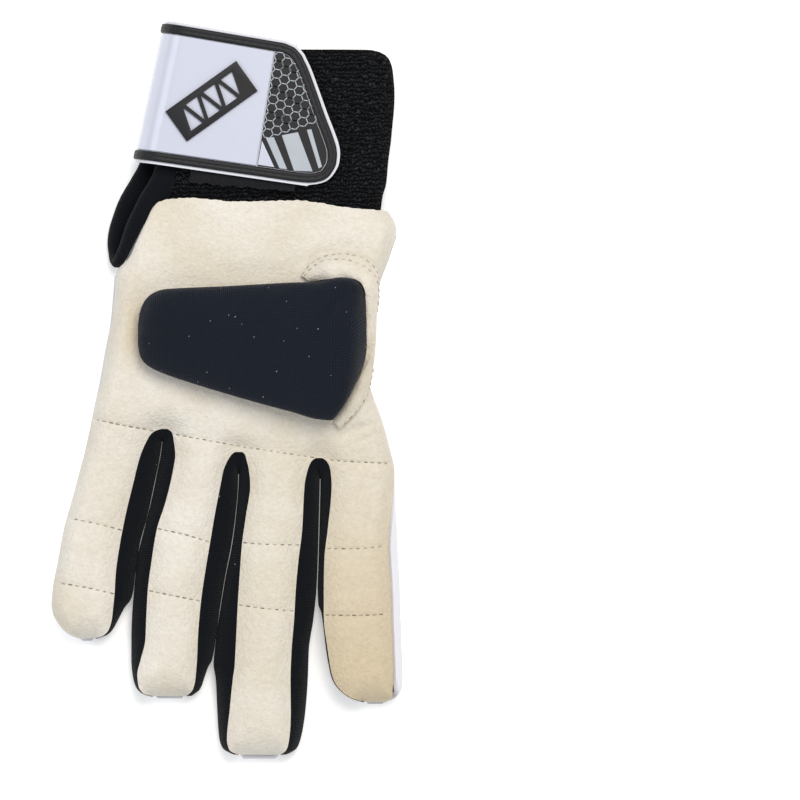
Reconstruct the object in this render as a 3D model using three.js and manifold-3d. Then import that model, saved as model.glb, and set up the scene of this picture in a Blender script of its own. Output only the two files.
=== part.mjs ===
// Wicketkeeping inner glove, left hand, lying palm up with its fingers along -Y.
// Millimetres, +Z up, the back of the glove on the plane z = 0.
import * as THREE from "three";
import { mergeVertices } from "three/addons/utils/BufferGeometryUtils.js";
import Module from "manifold-3d";

const wasm = await Module();
wasm.setup();

// Driving dimensions
const SEAM_GAP = 0.35;
const LEATHER_WALL = 1.8;
const BACK_WALL = 1.8;
const JERSEY_WALL = 1.2;
const THUMB_WALL = 1.6;
const KNIT_WALL = 2.8;
const RIM_WALL = 1.4;
const RIM_CLEARANCE = 0.6;
const PALM_HEIGHT = 19;
const FINGER_HEIGHT = 15.6;
const PALM_ENDS_Y = 2;
const FINGERS_START_Y = -26;
const GUSSET_EDGE_Z = 12.3;
const GUSSET_SIDE_Z = 4.8;
const GUSSET_FOOT_Z = 0.25;
const GUSSET_FOOT_INSET = 2.2;
const GUSSET_CLEARANCE = 0.2;
const GUSSET_SHOULDER = 9;
const SIDE_SHOULDER = 6.5;
const SIDE_ROLL = 4;
const SIDE_SEAM_Z = 4;
const RAISED_SEAM_ROLL_Z = 5.5;
const TIP_SHOULDER = 12;
const TIP_EDGE_Z = 5.2;
const TIP_TAB_Z = 4.2;
const QUILT_DEPTH = 0.5;
const QUILT_HALF_WIDTH = 0.018;
const WRIST_BACK_Y = 67.5;
const BACK_SEAM_TURN = 0.22;
const WEB_LEFT_Y = -9.4;
const WEB_RIGHT_Y = -25.6;

// Moves the part so that the origin is under the middle of its box.
const ORIGIN_SHIFT = { x: 0.11, y: -0.5 };

const mix = (a, b, t) => a + (b - a) * t;
const clamp = (v, lo, hi) => Math.min(hi, Math.max(lo, v));
const smooth = (a, b, v) => {
  const t = clamp((v - a) / (b - a), 0, 1);
  return t * t * (3 - 2 * t);
};

// A value read from a table whose rows fall in y: column names, then one row per section.
class Table {
  constructor(columns, rows) {
    this.columns = columns;
    this.rows = rows;
  }

  at(y, column) {
    const c = this.columns.indexOf(column);
    const rows = this.rows;
    if (y >= rows[0][0]) return rows[0][c];
    for (let i = 1; i < rows.length; i++) {
      if (y >= rows[i][0]) {
        const t = (rows[i - 1][0] - y) / (rows[i - 1][0] - rows[i][0]);
        return mix(rows[i - 1][c], rows[i][c], t);
      }
    }
    return rows[rows.length - 1][c];
  }

  get first() {
    return this.rows[0][0];
  }

  get last() {
    return this.rows[this.rows.length - 1][0];
  }
}

// Legs of the gussets: y, x of the leather edge, x of the finger's widest line.
const LEG = ["y", "edge", "side"];
const LITTLE_RIGHT = new Table(LEG, [
  [-13.3, -23.6, -22.9],
  [-14.0, -25.7, -23.0],
  [-15.1, -27.2, -23.2],
  [-17.3, -28.6, -23.4],
  [-22.7, -31.0, -24.1],
  [-33.5, -33.8, -26.3],
  [-44.3, -36.4, -28.6],
  [-55.1, -38.5, -31.5],
  [-65.9, -40.0, -33.1],
  [-71.3, -40.3, -33.7],
  [-74.9, -40.6, -34.7],
  [-77.8, -40.9, -36.9],
  [-82.1, -41.4, -39.2],
  [-85.7, -42.5, -41.2],
  [-87.8, -44.5, -43.4],
  [-88.9, -47.3, -46.8],
]);
const RING_LEFT = new Table(LEG, [
  [-13.3, -21.4, -22.9],
  [-14.0, -20.2, -22.9],
  [-15.1, -19.5, -23.0],
  [-17.3, -19.1, -23.3],
  [-22.7, -18.5, -24.0],
  [-28.1, -19.3, -25.1],
  [-38.9, -21.8, -27.3],
  [-49.7, -25.2, -30.0],
  [-60.5, -27.0, -32.5],
  [-71.3, -28.4, -33.6],
  [-82.1, -29.0, -34.4],
  [-89.3, -29.3, -34.6],
  [-96.5, -31.0, -34.6],
  [-101.9, -32.2, -34.2],
  [-106.2, -31.7, -33.1],
  [-108.7, -29.9, -31.0],
  [-109.8, -26.8, -27.9],
]);
const RING_RIGHT = new Table(LEG, [
  [-21.6, 3.1, 4.5],
  [-22.3, 2.0, 4.4],
  [-23.8, 0.9, 4.3],
  [-28.1, -1.1, 4.1],
  [-33.5, -2.2, 4.0],
  [-44.3, -4.3, 3.1],
  [-55.1, -6.1, 1.6],
  [-65.9, -7.9, -0.5],
  [-76.7, -9.4, -2.3],
  [-87.5, -10.3, -3.8],
  [-96.8, -10.7, -5.4],
  [-99.4, -10.9, -6.8],
  [-103.7, -11.3, -8.3],
  [-107.3, -12.2, -9.7],
  [-109.8, -14.6, -12.8],
]);
const MIDDLE_LEFT = new Table(LEG, [
  [-21.6, 5.6, 4.5],
  [-22.3, 6.5, 4.5],
  [-23.8, 7.0, 4.5],
  [-28.1, 8.0, 4.3],
  [-33.5, 8.5, 4.1],
  [-44.3, 7.0, 3.2],
  [-55.1, 5.5, 1.8],
  [-65.9, 4.7, -0.4],
  [-76.7, 4.0, -2.2],
  [-92.9, 3.2, -4.5],
  [-98.3, 2.9, -4.9],
  [-103.7, 2.2, -4.1],
  [-114.5, 1.1, -3.6],
  [-125.3, 0.1, -2.8],
  [-128.9, 0.9, -1.4],
  [-131.0, 4.1, 2.3],
]);
const MIDDLE_RIGHT = new Table(LEG, [
  [-23.8, 32.2, 33.7],
  [-24.5, 31.0, 33.7],
  [-25.6, 30.2, 33.7],
  [-28.1, 29.2, 33.6],
  [-33.5, 28.1, 33.5],
  [-49.7, 27.2, 33.1],
  [-60.5, 25.9, 32.8],
  [-71.3, 24.9, 32.3],
  [-82.1, 24.3, 31.2],
  [-92.9, 23.4, 29.6],
  [-103.7, 23.0, 29.2],
  [-114.5, 23.1, 28.4],
  [-119.9, 23.0, 27.7],
  [-125.3, 22.5, 26.6],
  [-128.9, 21.6, 25.0],
  [-131.0, 19.3, 21.4],
]);
const INDEX_LEFT = new Table(LEG, [
  [-23.8, 34.4, 33.8],
  [-24.5, 35.6, 33.8],
  [-25.6, 36.5, 33.8],
  [-28.1, 37.4, 33.8],
  [-33.5, 37.8, 33.7],
  [-49.7, 36.4, 33.3],
  [-60.5, 35.2, 33.0],
  [-71.3, 35.0, 32.7],
  [-76.7, 35.0, 32.9],
  [-79.6, 35.0, 34.0],
  [-82.8, 35.1, 34.5],
  [-92.9, 36.4, 35.7],
  [-98.3, 37.2, 36.6],
  [-103.7, 38.5, 37.9],
  [-107.3, 40.9, 40.2],
  [-110.2, 44.8, 44.2],
  [-111.8, 49.5, 48.9],
]);

// Little-finger side of the leather: y, x of its edge and the height of that edge.
// Above y = 44 the edge leaves the side seam and borders the slit at the wrist.
const LEFT_EDGE = new Table(
  ["y", "edge", "z"],
  [
    [68.0, -25.0, 17.4],
    [66.2, -26.6, 17.0],
    [62.6, -28.4, 16.7],
    [56.9, -31.1, 16.0],
    [52.2, -33.3, 15.0],
    [49.3, -34.6, 13.5],
    [46.8, -36.7, 10.5],
    [44.6, -39.2, 6.4],
    [42.1, -40.1, 4.2],
    [36.7, -40.6, 4.0],
    [25.9, -41.6, 4.0],
    [15.1, -43.6, 4.0],
    [4.3, -45.5, 4.0],
    [-6.5, -48.2, 4.0],
    [-17.3, -50.4, 4.0],
    [-28.1, -53.1, 4.0],
    [-38.9, -56.0, 4.0],
    [-49.7, -59.0, 4.0],
    [-60.5, -61.0, 4.0],
    [-71.3, -63.0, 4.0],
    [-76.7, -63.4, 4.0],
    [-80.3, -62.8, 4.1],
    [-83.9, -60.8, 4.4],
    [-86.4, -58.7, 4.8],
    [-88.2, -56.0, 5.1],
    [-89.1, -53.1, 5.2],
  ],
);

// Index side: y, x of the outline, and how far the white back climbs over the side.
const RIGHT_EDGE = new Table(
  ["y", "outline", "climb"],
  [
    [65.2, 58.1, 0],
    [62.6, 59.9, 0],
    [60.1, 61.0, 0],
    [56.5, 61.2, 0],
    [52.9, 60.1, 0],
    [47.5, 58.3, 0],
    [42.1, 56.2, 0],
    [36.7, 54.3, 0],
    [31.3, 53.4, 0],
    [25.9, 52.8, 0],
    [15.1, 51.9, 0],
    [9.7, 51.1, 0.1],
    [4.3, 51.3, 0.3],
    [-1.1, 52.6, 0.1],
    [-6.5, 54.7, 0],
    [-11.9, 56.5, 0],
    [-17.3, 58.0, 0],
    [-22.7, 59.4, 0],
    [-28.1, 60.5, 0.12],
    [-33.5, 60.6, 0.3],
    [-38.9, 60.8, 0.5],
    [-44.3, 61.1, 0.7],
    [-49.7, 61.4, 0.88],
    [-57.0, 61.7, 1],
    [-71.3, 62.5, 1],
    [-82.1, 62.8, 1],
    [-92.9, 63.2, 1],
    [-103.7, 63.5, 1],
    [-106.6, 63.2, 1],
    [-109.1, 62.1, 0.8],
    [-110.9, 59.9, 0.4],
    [-112.0, 57.1, 0.1],
  ],
);

// Edge of the back beside the slit: y, x of the edge and the height of its rim.
const SLIT_BACK_EDGE = new Table(
  ["y", "edge", "z"],
  [
    [67.5, -32.2, 0.5],
    [64.4, -33.4, 0.5],
    [57.6, -35.2, 0.5],
    [52.0, -35.6, 0.8],
    [46.0, -37.2, 2.0],
    [42.1, -39.9, 3.65],
  ],
);

// Upper edge of the leather at the wrist, from the little-finger side across.
const WRIST_EDGE = [
  { across: 0, y: 68.0 },
  { across: 0.04, y: 69.2 },
  { across: 0.14, y: 69.8 },
  { across: 0.35, y: 68.5 },
  { across: 0.6, y: 68.9 },
  { across: 0.84, y: 66.2 },
  { across: 1, y: 65.2 },
];

const FINGERS = [
  { name: "little", quilts: [0.468, 0.765], tab: 0.9, tabInset: 1.2 },
  { name: "ring", quilts: [0.37, 0.608], tab: 0.9, tabInset: 2.2 },
  { name: "middle", quilts: [0.297, 0.509], tab: 1.6, tabInset: 2.6 },
  { name: "index", quilts: [0.357, 0.635], tab: 0.7, tabInset: 1.2 },
];

// The leather edge on the index side: the seam rolls inwards as the white back climbs.
function rightSeam(y) {
  const climb = RIGHT_EDGE.at(y, "climb");
  const roll = mix(SIDE_SEAM_Z, RAISED_SEAM_ROLL_Z, climb);
  const angle = climb * 1.41;
  const x = RIGHT_EDGE.at(y, "outline") - SIDE_ROLL * (1 - Math.cos(angle));
  return { x, z: roll * (1 + Math.sin(angle)), climb, roll, angle };
}

// A rail is a leather edge seen in plan, with side = 1 where the finger lies to its left.
class Rail {
  constructor(side, xAt, from, to) {
    this.side = side;
    this.xAt = xAt;
    this.from = from;
    this.to = to;
    this.line = [];
    const steps = 60;
    for (let i = 0; i <= steps; i++) {
      const y = mix(from, to, i / steps);
      this.line.push([xAt(y), y]);
    }
  }

  y(s) {
    return mix(this.from, this.to, s);
  }

  outward(y) {
    const h = 0.6;
    const hi = Math.max(this.from, this.to);
    const lo = Math.min(this.from, this.to);
    const y1 = Math.min(hi, y + h);
    const y0 = Math.max(lo, y - h);
    const slope = (this.xAt(y1) - this.xAt(y0)) / (y1 - y0);
    const n = Math.hypot(1, slope);
    return [this.side / n, (-this.side * slope) / n];
  }

  distance(x, y) {
    let best = Infinity;
    for (let i = 1; i < this.line.length; i++) {
      const [ax, ay] = this.line[i - 1];
      const [bx, by] = this.line[i];
      const lx = bx - ax;
      const ly = by - ay;
      const t = clamp(((x - ax) * lx + (y - ay) * ly) / (lx * lx + ly * ly), 0, 1);
      best = Math.min(best, Math.hypot(x - ax - t * lx, y - ay - t * ly));
    }
    return best;
  }
}

const legRail = (side, table) =>
  new Rail(side, (y) => table.at(y, "edge"), table.first, table.last);
const leftX = (y) => LEFT_EDGE.at(y, "edge");
const PALM_LEFT = new Rail(-1, leftX, LEFT_EDGE.first, WEB_LEFT_Y);
const PALM_RIGHT = new Rail(1, (y) => rightSeam(y).x, 65.2, WEB_RIGHT_Y);
const LITTLE_OUTER = new Rail(-1, leftX, WEB_LEFT_Y, LEFT_EDGE.last);
const INDEX_OUTER = new Rail(1, (y) => rightSeam(y).x, WEB_RIGHT_Y, RIGHT_EDGE.last);
const GUSSETS = [
  { name: "gusset_little_ring", tables: [LITTLE_RIGHT, RING_LEFT], creaseY: -17.9 },
  { name: "gusset_ring_middle", tables: [RING_RIGHT, MIDDLE_LEFT], creaseY: -29.6 },
  { name: "gusset_middle_index", tables: [MIDDLE_RIGHT, INDEX_LEFT], creaseY: -31.4 },
].map((g) => ({ ...g, rails: [legRail(1, g.tables[0]), legRail(-1, g.tables[1])] }));

const FINGER_RAILS = [
  [LITTLE_OUTER, GUSSETS[0].rails[0]],
  [GUSSETS[0].rails[1], GUSSETS[1].rails[0]],
  [GUSSETS[1].rails[1], GUSSETS[2].rails[0]],
  [GUSSETS[2].rails[1], INDEX_OUTER],
];
const TIPS = FINGER_RAILS.map(([left, right]) => {
  const [ax, ay] = [left.xAt(left.to), left.to];
  const [bx, by] = [right.xAt(right.to), right.to];
  return new Rail(1, (t) => mix(ax, bx, (t - ay) / (by - ay || 1)), ay, by);
});
TIPS.forEach((tip, i) => {
  const [left, right] = FINGER_RAILS[i];
  tip.line = [
    [left.xAt(left.to), left.to],
    [right.xAt(right.to), right.to],
  ];
});

const roundShoulder = (t) => 1 - Math.sqrt(1 - (1 - t) * (1 - t));
const softShoulder = (t) => (1 - t) * (1 - t);

// Height of the leather over the plan.
function leatherHeight(x, y) {
  const open = mix(FINGER_HEIGHT, PALM_HEIGHT, smooth(FINGERS_START_Y, PALM_ENDS_Y, y));
  let sum = 0;
  const drop = (depth, distance, reach, shape) => {
    if (distance < reach) sum += Math.pow(Math.max(0, depth) * shape(distance / reach), 4);
  };
  for (const rail of [PALM_LEFT, LITTLE_OUTER]) {
    const edge = LEFT_EDGE.at(y, "z");
    const reach = mix(SIDE_SHOULDER, 4, smooth(44, 56, y));
    drop(open - edge, rail.distance(x, y), reach, roundShoulder);
  }
  for (const rail of [PALM_RIGHT, INDEX_OUTER]) {
    const seam = rightSeam(y);
    const shape = (t) => mix(roundShoulder(t), softShoulder(t), seam.climb);
    drop(open - seam.z, rail.distance(x, y), SIDE_SHOULDER, shape);
  }
  for (const gusset of GUSSETS) {
    const distance = Math.min(...gusset.rails.map((r) => r.distance(x, y)));
    drop(open - GUSSET_EDGE_Z, distance, GUSSET_SHOULDER, softShoulder);
  }
  for (const tip of TIPS) drop(open - TIP_EDGE_Z, tip.distance(x, y), TIP_SHOULDER, roundShoulder);
  return open - Math.pow(sum, 0.25);
}

// A skin of quads with a wall built inwards from it along its normals.
class Skin {
  constructor(wall, { up = true } = {}) {
    this.wall = wall;
    this.up = up;
    this.points = [];
    this.quads = [];
    this.fixed = new Map();
  }

  point(p, normal) {
    this.points.push(new THREE.Vector3(...p));
    if (normal) this.fixed.set(this.points.length - 1, new THREE.Vector3(...normal).normalize());
    return this.points.length - 1;
  }

  quad(a, b, c, d) {
    this.quads.push(this.up ? [a, b, c, d] : [d, c, b, a]);
  }

  strip(rowA, rowB) {
    for (let i = 1; i < rowA.length; i++) this.quad(rowA[i - 1], rowB[i - 1], rowB[i], rowA[i]);
  }

  normals() {
    const sums = this.points.map(() => new THREE.Vector3());
    const d1 = new THREE.Vector3();
    const d2 = new THREE.Vector3();
    for (const [a, b, c, d] of this.quads) {
      d1.subVectors(this.points[c], this.points[a]);
      d2.subVectors(this.points[d], this.points[b]);
      const n = new THREE.Vector3().crossVectors(d1, d2);
      for (const i of [a, b, c, d]) sums[i].add(n);
    }
    return sums.map((n, i) => this.fixed.get(i) || n.normalize());
  }

  geometry() {
    const count = this.points.length;
    const normals = this.normals();
    const position = [];
    for (const p of this.points) position.push(p.x, p.y, p.z);
    this.points.forEach((p, i) => {
      const n = normals[i];
      position.push(p.x - n.x * this.wall, p.y - n.y * this.wall, p.z - n.z * this.wall);
    });
    const index = [];
    const edges = new Map();
    for (const [a, b, c, d] of this.quads) {
      index.push(a, b, c, a, c, d);
      index.push(count + a, count + c, count + b, count + a, count + d, count + c);
      for (const [p, q] of [[a, b], [b, c], [c, d], [d, a]]) {
        if (edges.has(q + "," + p)) edges.delete(q + "," + p);
        else edges.set(p + "," + q, [p, q]);
      }
    }
    for (const [p, q] of edges.values()) index.push(q, p, count + p, q, count + p, count + q);
    return new THREE.BufferGeometry()
      .setAttribute("position", new THREE.Float32BufferAttribute(position, 3))
      .setIndex(index);
  }
}

// Stations down a finger, 0 at the web and 1 at the tip, closer round each quilting line.
function stationsOf(f) {
  const finger = FINGERS[f];
  const length = Math.abs(FINGER_RAILS[f][0].to - FINGER_RAILS[f][0].from);
  const head = [0, 0.5 / length, 1.7 / length, 4.5 / length, 11 / length];
  const tail = [13, 8, 4.4, 2, 0.6, 0].map((d) => 1 - d / length);
  const [a, b] = finger.quilts;
  const near = (q) => [q - QUILT_HALF_WIDTH, q, q + QUILT_HALF_WIDTH];
  return [...head, ...near(a), mix(a, b, 0.5), ...near(b), ...tail].sort((p, q) => p - q);
}

const isQuilt = (finger, s) => finger.quilts.some((q) => Math.abs(q - s) < 1e-6);

function wristY(across) {
  for (let i = 1; i < WRIST_EDGE.length; i++) {
    const [a, b] = [WRIST_EDGE[i - 1], WRIST_EDGE[i]];
    if (across <= b.across) return mix(a.y, b.y, (across - a.across) / (b.across - a.across));
  }
  return WRIST_EDGE.at(-1).y;
}

// Columns across a finger: spread evenly, or closer to an outer side that rolls over.
function columns(count, outer) {
  const list = [];
  for (let i = 0; i <= count; i++) {
    const t = i / count;
    if (i === 0 || i === count || outer === 0) list.push(t);
    else if (outer === -1) list.push(mix(t, 1 - Math.cos((t * Math.PI) / 2), 0.8));
    else list.push(mix(t, Math.sin((t * Math.PI) / 2), 0.8));
  }
  return list;
}

// The chamois front: a palm block whose columns run on into the four fingers.
function palmLeather() {
  const skin = new Skin(LEATHER_WALL);
  const spread = [columns(6, -1), columns(5, 0), columns(5, 0), columns(6, 1)];
  const edgeNormal = (rail, y) => {
    const [ox, oy] = rail.outward(y);
    if (rail === PALM_LEFT || rail === LITTLE_OUTER) {
      const flat = smooth(44, 56, y);
      return [ox * (1 - 0.5 * flat), oy * (1 - 0.5 * flat), 0.9 * flat];
    }
    if (rail === PALM_RIGHT || rail === INDEX_OUTER) {
      const { angle } = rightSeam(y);
      return [ox * Math.cos(angle), oy * Math.cos(angle), Math.sin(angle)];
    }
    return [0.75 * ox, 0.75 * oy, 0.66];
  };
  const web = [];
  const fingerStarts = [];
  FINGER_RAILS.forEach(([left, right], f) => {
    const row = spread[f].map((u) => {
      const y = mix(left.y(0), right.y(0), u);
      return { x: mix(left.xAt(left.y(0)), right.xAt(right.y(0)), u), y, u };
    });
    fingerStarts.push(web.length);
    web.push(...row);
  });
  const palmRows = [0, 0.03, 0.1, 0.19, 0.28, 0.38, 0.5, 0.62, 0.74, 0.85, 0.94, 1];
  const leftEnd = web[0];
  const rightEnd = web.at(-1);
  const grid = palmRows.map((v) => {
    const yl = mix(wristY(0), leftEnd.y, v);
    const yr = mix(wristY(1), rightEnd.y, v);
    const xl = leftX(yl);
    const xr = rightSeam(yr).x;
    return web.map((w, i) => {
      const across = (w.x - leftEnd.x) / (rightEnd.x - leftEnd.x);
      const x = v === 1 ? w.x : mix(xl, xr, across);
      const y = mix(wristY(across), w.y, v);
      const z = leatherHeight(x, y);
      if (i === 0) return skin.point([x, y, LEFT_EDGE.at(y, "z")], edgeNormal(PALM_LEFT, y));
      if (i === web.length - 1) return skin.point([x, y, rightSeam(y).z], edgeNormal(PALM_RIGHT, y));
      if (v === 1) {
        const f = fingerStarts.findLastIndex((start) => start <= i);
        const last = fingerStarts[f] + spread[f].length - 1;
        if (i === fingerStarts[f]) return skin.point([x, y, z], edgeNormal(FINGER_RAILS[f][0], y));
        if (i === last) return skin.point([x, y, z], edgeNormal(FINGER_RAILS[f][1], y));
        const middle = Math.sin(Math.PI * w.u);
        return skin.point([x, y, z - QUILT_DEPTH * middle]);
      }
      return skin.point([x, y, z], v === 0 ? [0, 0, 1] : undefined);
    });
  });
  for (let r = 1; r < grid.length; r++) skin.strip(grid[r - 1], grid[r]);
  FINGERS.forEach((finger, f) => {
    const [left, right] = FINGER_RAILS[f];
    const stations = stationsOf(f);
    let previous = grid.at(-1).slice(fingerStarts[f], fingerStarts[f] + spread[f].length);
    stations.slice(1).forEach((s) => {
      const yl = left.y(s);
      const yr = right.y(s);
      const atTip = s === 1;
      const row = spread[f].map((u) => {
        const x = mix(left.xAt(yl), right.xAt(yr), u);
        const y = mix(yl, yr, u);
        const z = atTip ? TIP_EDGE_Z : leatherHeight(x, y);
        const edge = u === 0 ? left : u === 1 ? right : null;
        const groove = isQuilt(finger, s) && !edge ? QUILT_DEPTH : 0;
        let normal;
        if (edge) normal = edgeNormal(edge, y);
        if (atTip && !edge) normal = [0, -0.9, 0.43];
        let height = z - groove;
        if (edge === LITTLE_OUTER) height = LEFT_EDGE.at(y, "z");
        if (edge === INDEX_OUTER) height = rightSeam(y).z;
        return skin.point([x, y, height], normal);
      });
      skin.strip(previous, row);
      previous = row;
    });
  });
  return skin.geometry();
}

// The side of a finger: share of the way out to its widest line, share of the way up.
const SIDE_PROFILE = [
  { out: 0, up: 1, normalOut: 0.75, normalUp: 0.66 },
  { out: 0.45, up: 0.76, normalOut: 0.8, normalUp: 0.6 },
  { out: 0.83, up: 0.38, normalOut: 0.9, normalUp: 0.43 },
  { out: 1, up: 0, normalOut: 1, normalUp: 0 },
];

// Plan points of one gusset station: leather edge, widest line and foot.
function gussetStation(gusset, leg, s) {
  const rail = gusset.rails[leg];
  const table = gusset.tables[leg];
  const y = rail.y(s);
  const [ox, oy] = rail.outward(y);
  const ramp = rail.from - gusset.creaseY;
  const sideY = y - ramp * Math.exp((y - rail.from) / (1.15 * ramp));
  const limited = Math.max(sideY, table.last - 0.2);
  const sideX = table.at(limited, "side") - rail.side * GUSSET_CLEARANCE;
  const edge = { x: rail.xAt(y), y };
  return { ox, oy, edge, side: { x: sideX, y: limited } };
}

function gussetGeometry(gusset) {
  const skin = new Skin(JERSEY_WALL, { up: false });
  const first = GUSSETS.indexOf(gusset);
  const path = [
    ...stationsOf(first).toReversed().map((s) => [0, s]),
    ...stationsOf(first + 1).map((s) => [1, s]),
  ];
  let previous = null;
  for (const [leg, s] of path) {
    const { ox, oy, edge, side } = gussetStation(gusset, leg, s);
    const top = s === 1 ? TIP_EDGE_Z : leatherHeight(edge.x, edge.y);
    const row = SIDE_PROFILE.map(({ out, up, normalOut, normalUp }) => {
      const x = mix(edge.x, side.x, out);
      const y = mix(edge.y, side.y, out);
      const z = mix(Math.min(GUSSET_SIDE_Z, top * 0.55), top, up);
      const shift = up === 1 ? SEAM_GAP : 0;
      const p = [x + shift * 0.66 * ox, y + shift * 0.66 * oy, z - shift * 0.75];
      return skin.point(p, [normalOut * ox, normalOut * oy, normalUp]);
    });
    const low = { x: side.x - 0.5 * ox, y: side.y - 0.5 * oy };
    row.push(skin.point([low.x, low.y, 2.1], [0.93 * ox, 0.93 * oy, -0.37]));
    const inset = GUSSET_FOOT_INSET - SEAM_GAP * 0.8;
    const foot = [side.x - inset * ox, side.y - inset * oy, GUSSET_FOOT_Z + SEAM_GAP * 0.6];
    row.push(skin.point(foot, [0.6 * ox, 0.6 * oy, -0.8]));
    if (previous) skin.strip(previous, row);
    previous = row;
  }
  return skin.geometry();
}

// The white back: flat on the floor, rolling up at the sides and the fingertips.
function backPanel() {
  const skin = new Skin(BACK_WALL, { up: false });
  const ROLL = [1, 0.66, 0.33, 0];
  const tipRise = (finger, tabY, y) => {
    const t = clamp(1 - (y - tabY) / 4, 0, 1);
    return TIP_TAB_Z * (1 - Math.sqrt(1 - t * t));
  };
  const leftRoll = (y, width) => {
    const slit = y > 42.1;
    const table = slit ? SLIT_BACK_EDGE : LEFT_EDGE;
    const x = table.at(y, "edge");
    const z = slit ? table.at(y, "z") : Math.min(3.65, table.at(y, "z") - SEAM_GAP);
    const [ox, oy] = (y > WEB_LEFT_Y ? PALM_LEFT : LITTLE_OUTER).outward(y);
    const reach = Math.min(SIDE_ROLL, 0.3 * width);
    return ROLL.map((t) => {
      const angle = (t * Math.PI) / 2;
      const flat = slit ? smooth(42.1, 47, y) : 0;
      const level = Math.sin(angle) * (1 - flat);
      const normal = [ox * level, oy * level, -Math.cos(angle) - flat];
      const inward = reach * (1 - Math.sin(angle));
      return { x: x - ox * inward, y: y - oy * inward, z: z * (1 - Math.cos(angle)), normal };
    });
  };
  const rightRoll = (y, width) => {
    const { roll, angle } = rightSeam(y);
    const rail = y > WEB_RIGHT_Y ? PALM_RIGHT : INDEX_OUTER;
    const [ox, oy] = rail.outward(y);
    const reach = Math.min(SIDE_ROLL, 0.3 * width);
    const outline = RIGHT_EDGE.at(y, "outline");
    return [0, 0.35, 0.7, 1].map((t) => {
      const a = mix(-Math.PI / 2, angle - BACK_SEAM_TURN, t);
      const inward = reach * (1 - Math.cos(a));
      const normal = [ox * Math.cos(a), oy * Math.cos(a), Math.sin(a)];
      const z = roll * (1 + Math.sin(a)) * mix(0.86, 1, smooth(-112, -107, y));
      return { x: outline - ox * inward, y: y - oy * inward, z, normal };
    });
  };
  const foot = (f, side, s) => {
    const gusset = GUSSETS[side === -1 ? f - 1 : f];
    const { ox, oy, side: wide } = gussetStation(gusset, side === -1 ? 1 : 0, s);
    const x = wide.x - GUSSET_FOOT_INSET * ox;
    const y = wide.y - GUSSET_FOOT_INSET * oy;
    return { x, y, z: GUSSET_FOOT_Z, normal: [0.6 * ox, 0.6 * oy, -0.8] };
  };
  const fingerRow = (f, s) => {
    const left = f === 0 ? leftRoll(LITTLE_OUTER.y(s), 20) : [foot(f, -1, s)];
    const right = f === 3 ? rightRoll(INDEX_OUTER.y(s), 20) : [foot(f, 1, s)];
    const a = left.at(-1);
    const b = right[0];
    const inner = [0.5].map((u) => ({ x: mix(a.x, b.x, u), y: mix(a.y, b.y, u), z: 0 }));
    return [...left, ...inner, ...right];
  };
  const web = [];
  const fingerStarts = [];
  FINGERS.forEach((finger, f) => {
    fingerStarts.push(web.length);
    web.push(...fingerRow(f, 0));
  });
  const first = web[3];
  const last = web.at(-4);
  const grid = [0, 0.12, 0.24, 0.32, 0.4, 0.5, 0.62, 0.74, 0.86, 1].map((v) => {
    const yl = mix(WRIST_BACK_Y, LITTLE_OUTER.y(0), v);
    const yr = mix(WRIST_BACK_Y - 3, INDEX_OUTER.y(0), v);
    const left = leftRoll(yl, 40);
    const right = rightRoll(yr, 40);
    return web.map((w, i) => {
      if (v === 1) return skin.point([w.x, w.y, w.z], w.normal);
      if (i < 4) return skin.point([left[i].x, left[i].y, left[i].z], left[i].normal);
      const j = i - (web.length - 4);
      if (j >= 0) return skin.point([right[j].x, right[j].y, right[j].z], right[j].normal);
      const across = (w.x - first.x) / (last.x - first.x);
      const top = mix(left[3].y, right[0].y, across);
      const y = mix(mix(WRIST_BACK_Y, WRIST_BACK_Y - 3, across), w.y, v);
      return skin.point([mix(left[3].x, right[0].x, across), v < 0.5 ? top : y, 0], [0, 0, -1]);
    });
  });
  for (let r = 1; r < grid.length; r++) skin.strip(grid[r - 1], grid[r]);
  FINGERS.forEach((finger, f) => {
    const count = fingerRow(f, 0).length;
    let previous = grid.at(-1).slice(fingerStarts[f], fingerStarts[f] + count);
    const [left, right] = FINGER_RAILS[f];
    const tabY = Math.min(left.to, right.to) - finger.tab;
    const lift = (p) => ({ ...p, z: Math.max(p.z, tipRise(finger, tabY, p.y)) });
    for (const s of stationsOf(f).slice(1)) {
      const row = fingerRow(f, s).map(lift).map((p) => skin.point([p.x, p.y, p.z], p.normal));
      skin.strip(previous, row);
      previous = row;
    }
    const end = fingerRow(f, 1);
    const from = end[0].x + finger.tabInset;
    const to = end.at(-1).x - finger.tabInset;
    const tab = end.map((p, i) => {
      const x = mix(from, to, i / (end.length - 1));
      return skin.point([x, tabY, TIP_TAB_Z], [0, -1, 0]);
    });
    skin.strip(previous, tab);
  });
  return skin.geometry();
}

// A flattened ring of points: centre, half sizes and how square it is.
function ring(count, square) {
  const list = [];
  for (let i = 0; i < count; i++) {
    const a = (i / count) * 2 * Math.PI;
    const c = Math.cos(a);
    const s = Math.sin(a);
    const p = 2 / square;
    list.push([Math.sign(c) * Math.pow(Math.abs(c), p), Math.sign(s) * Math.pow(Math.abs(s), p)]);
  }
  return list;
}

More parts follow.
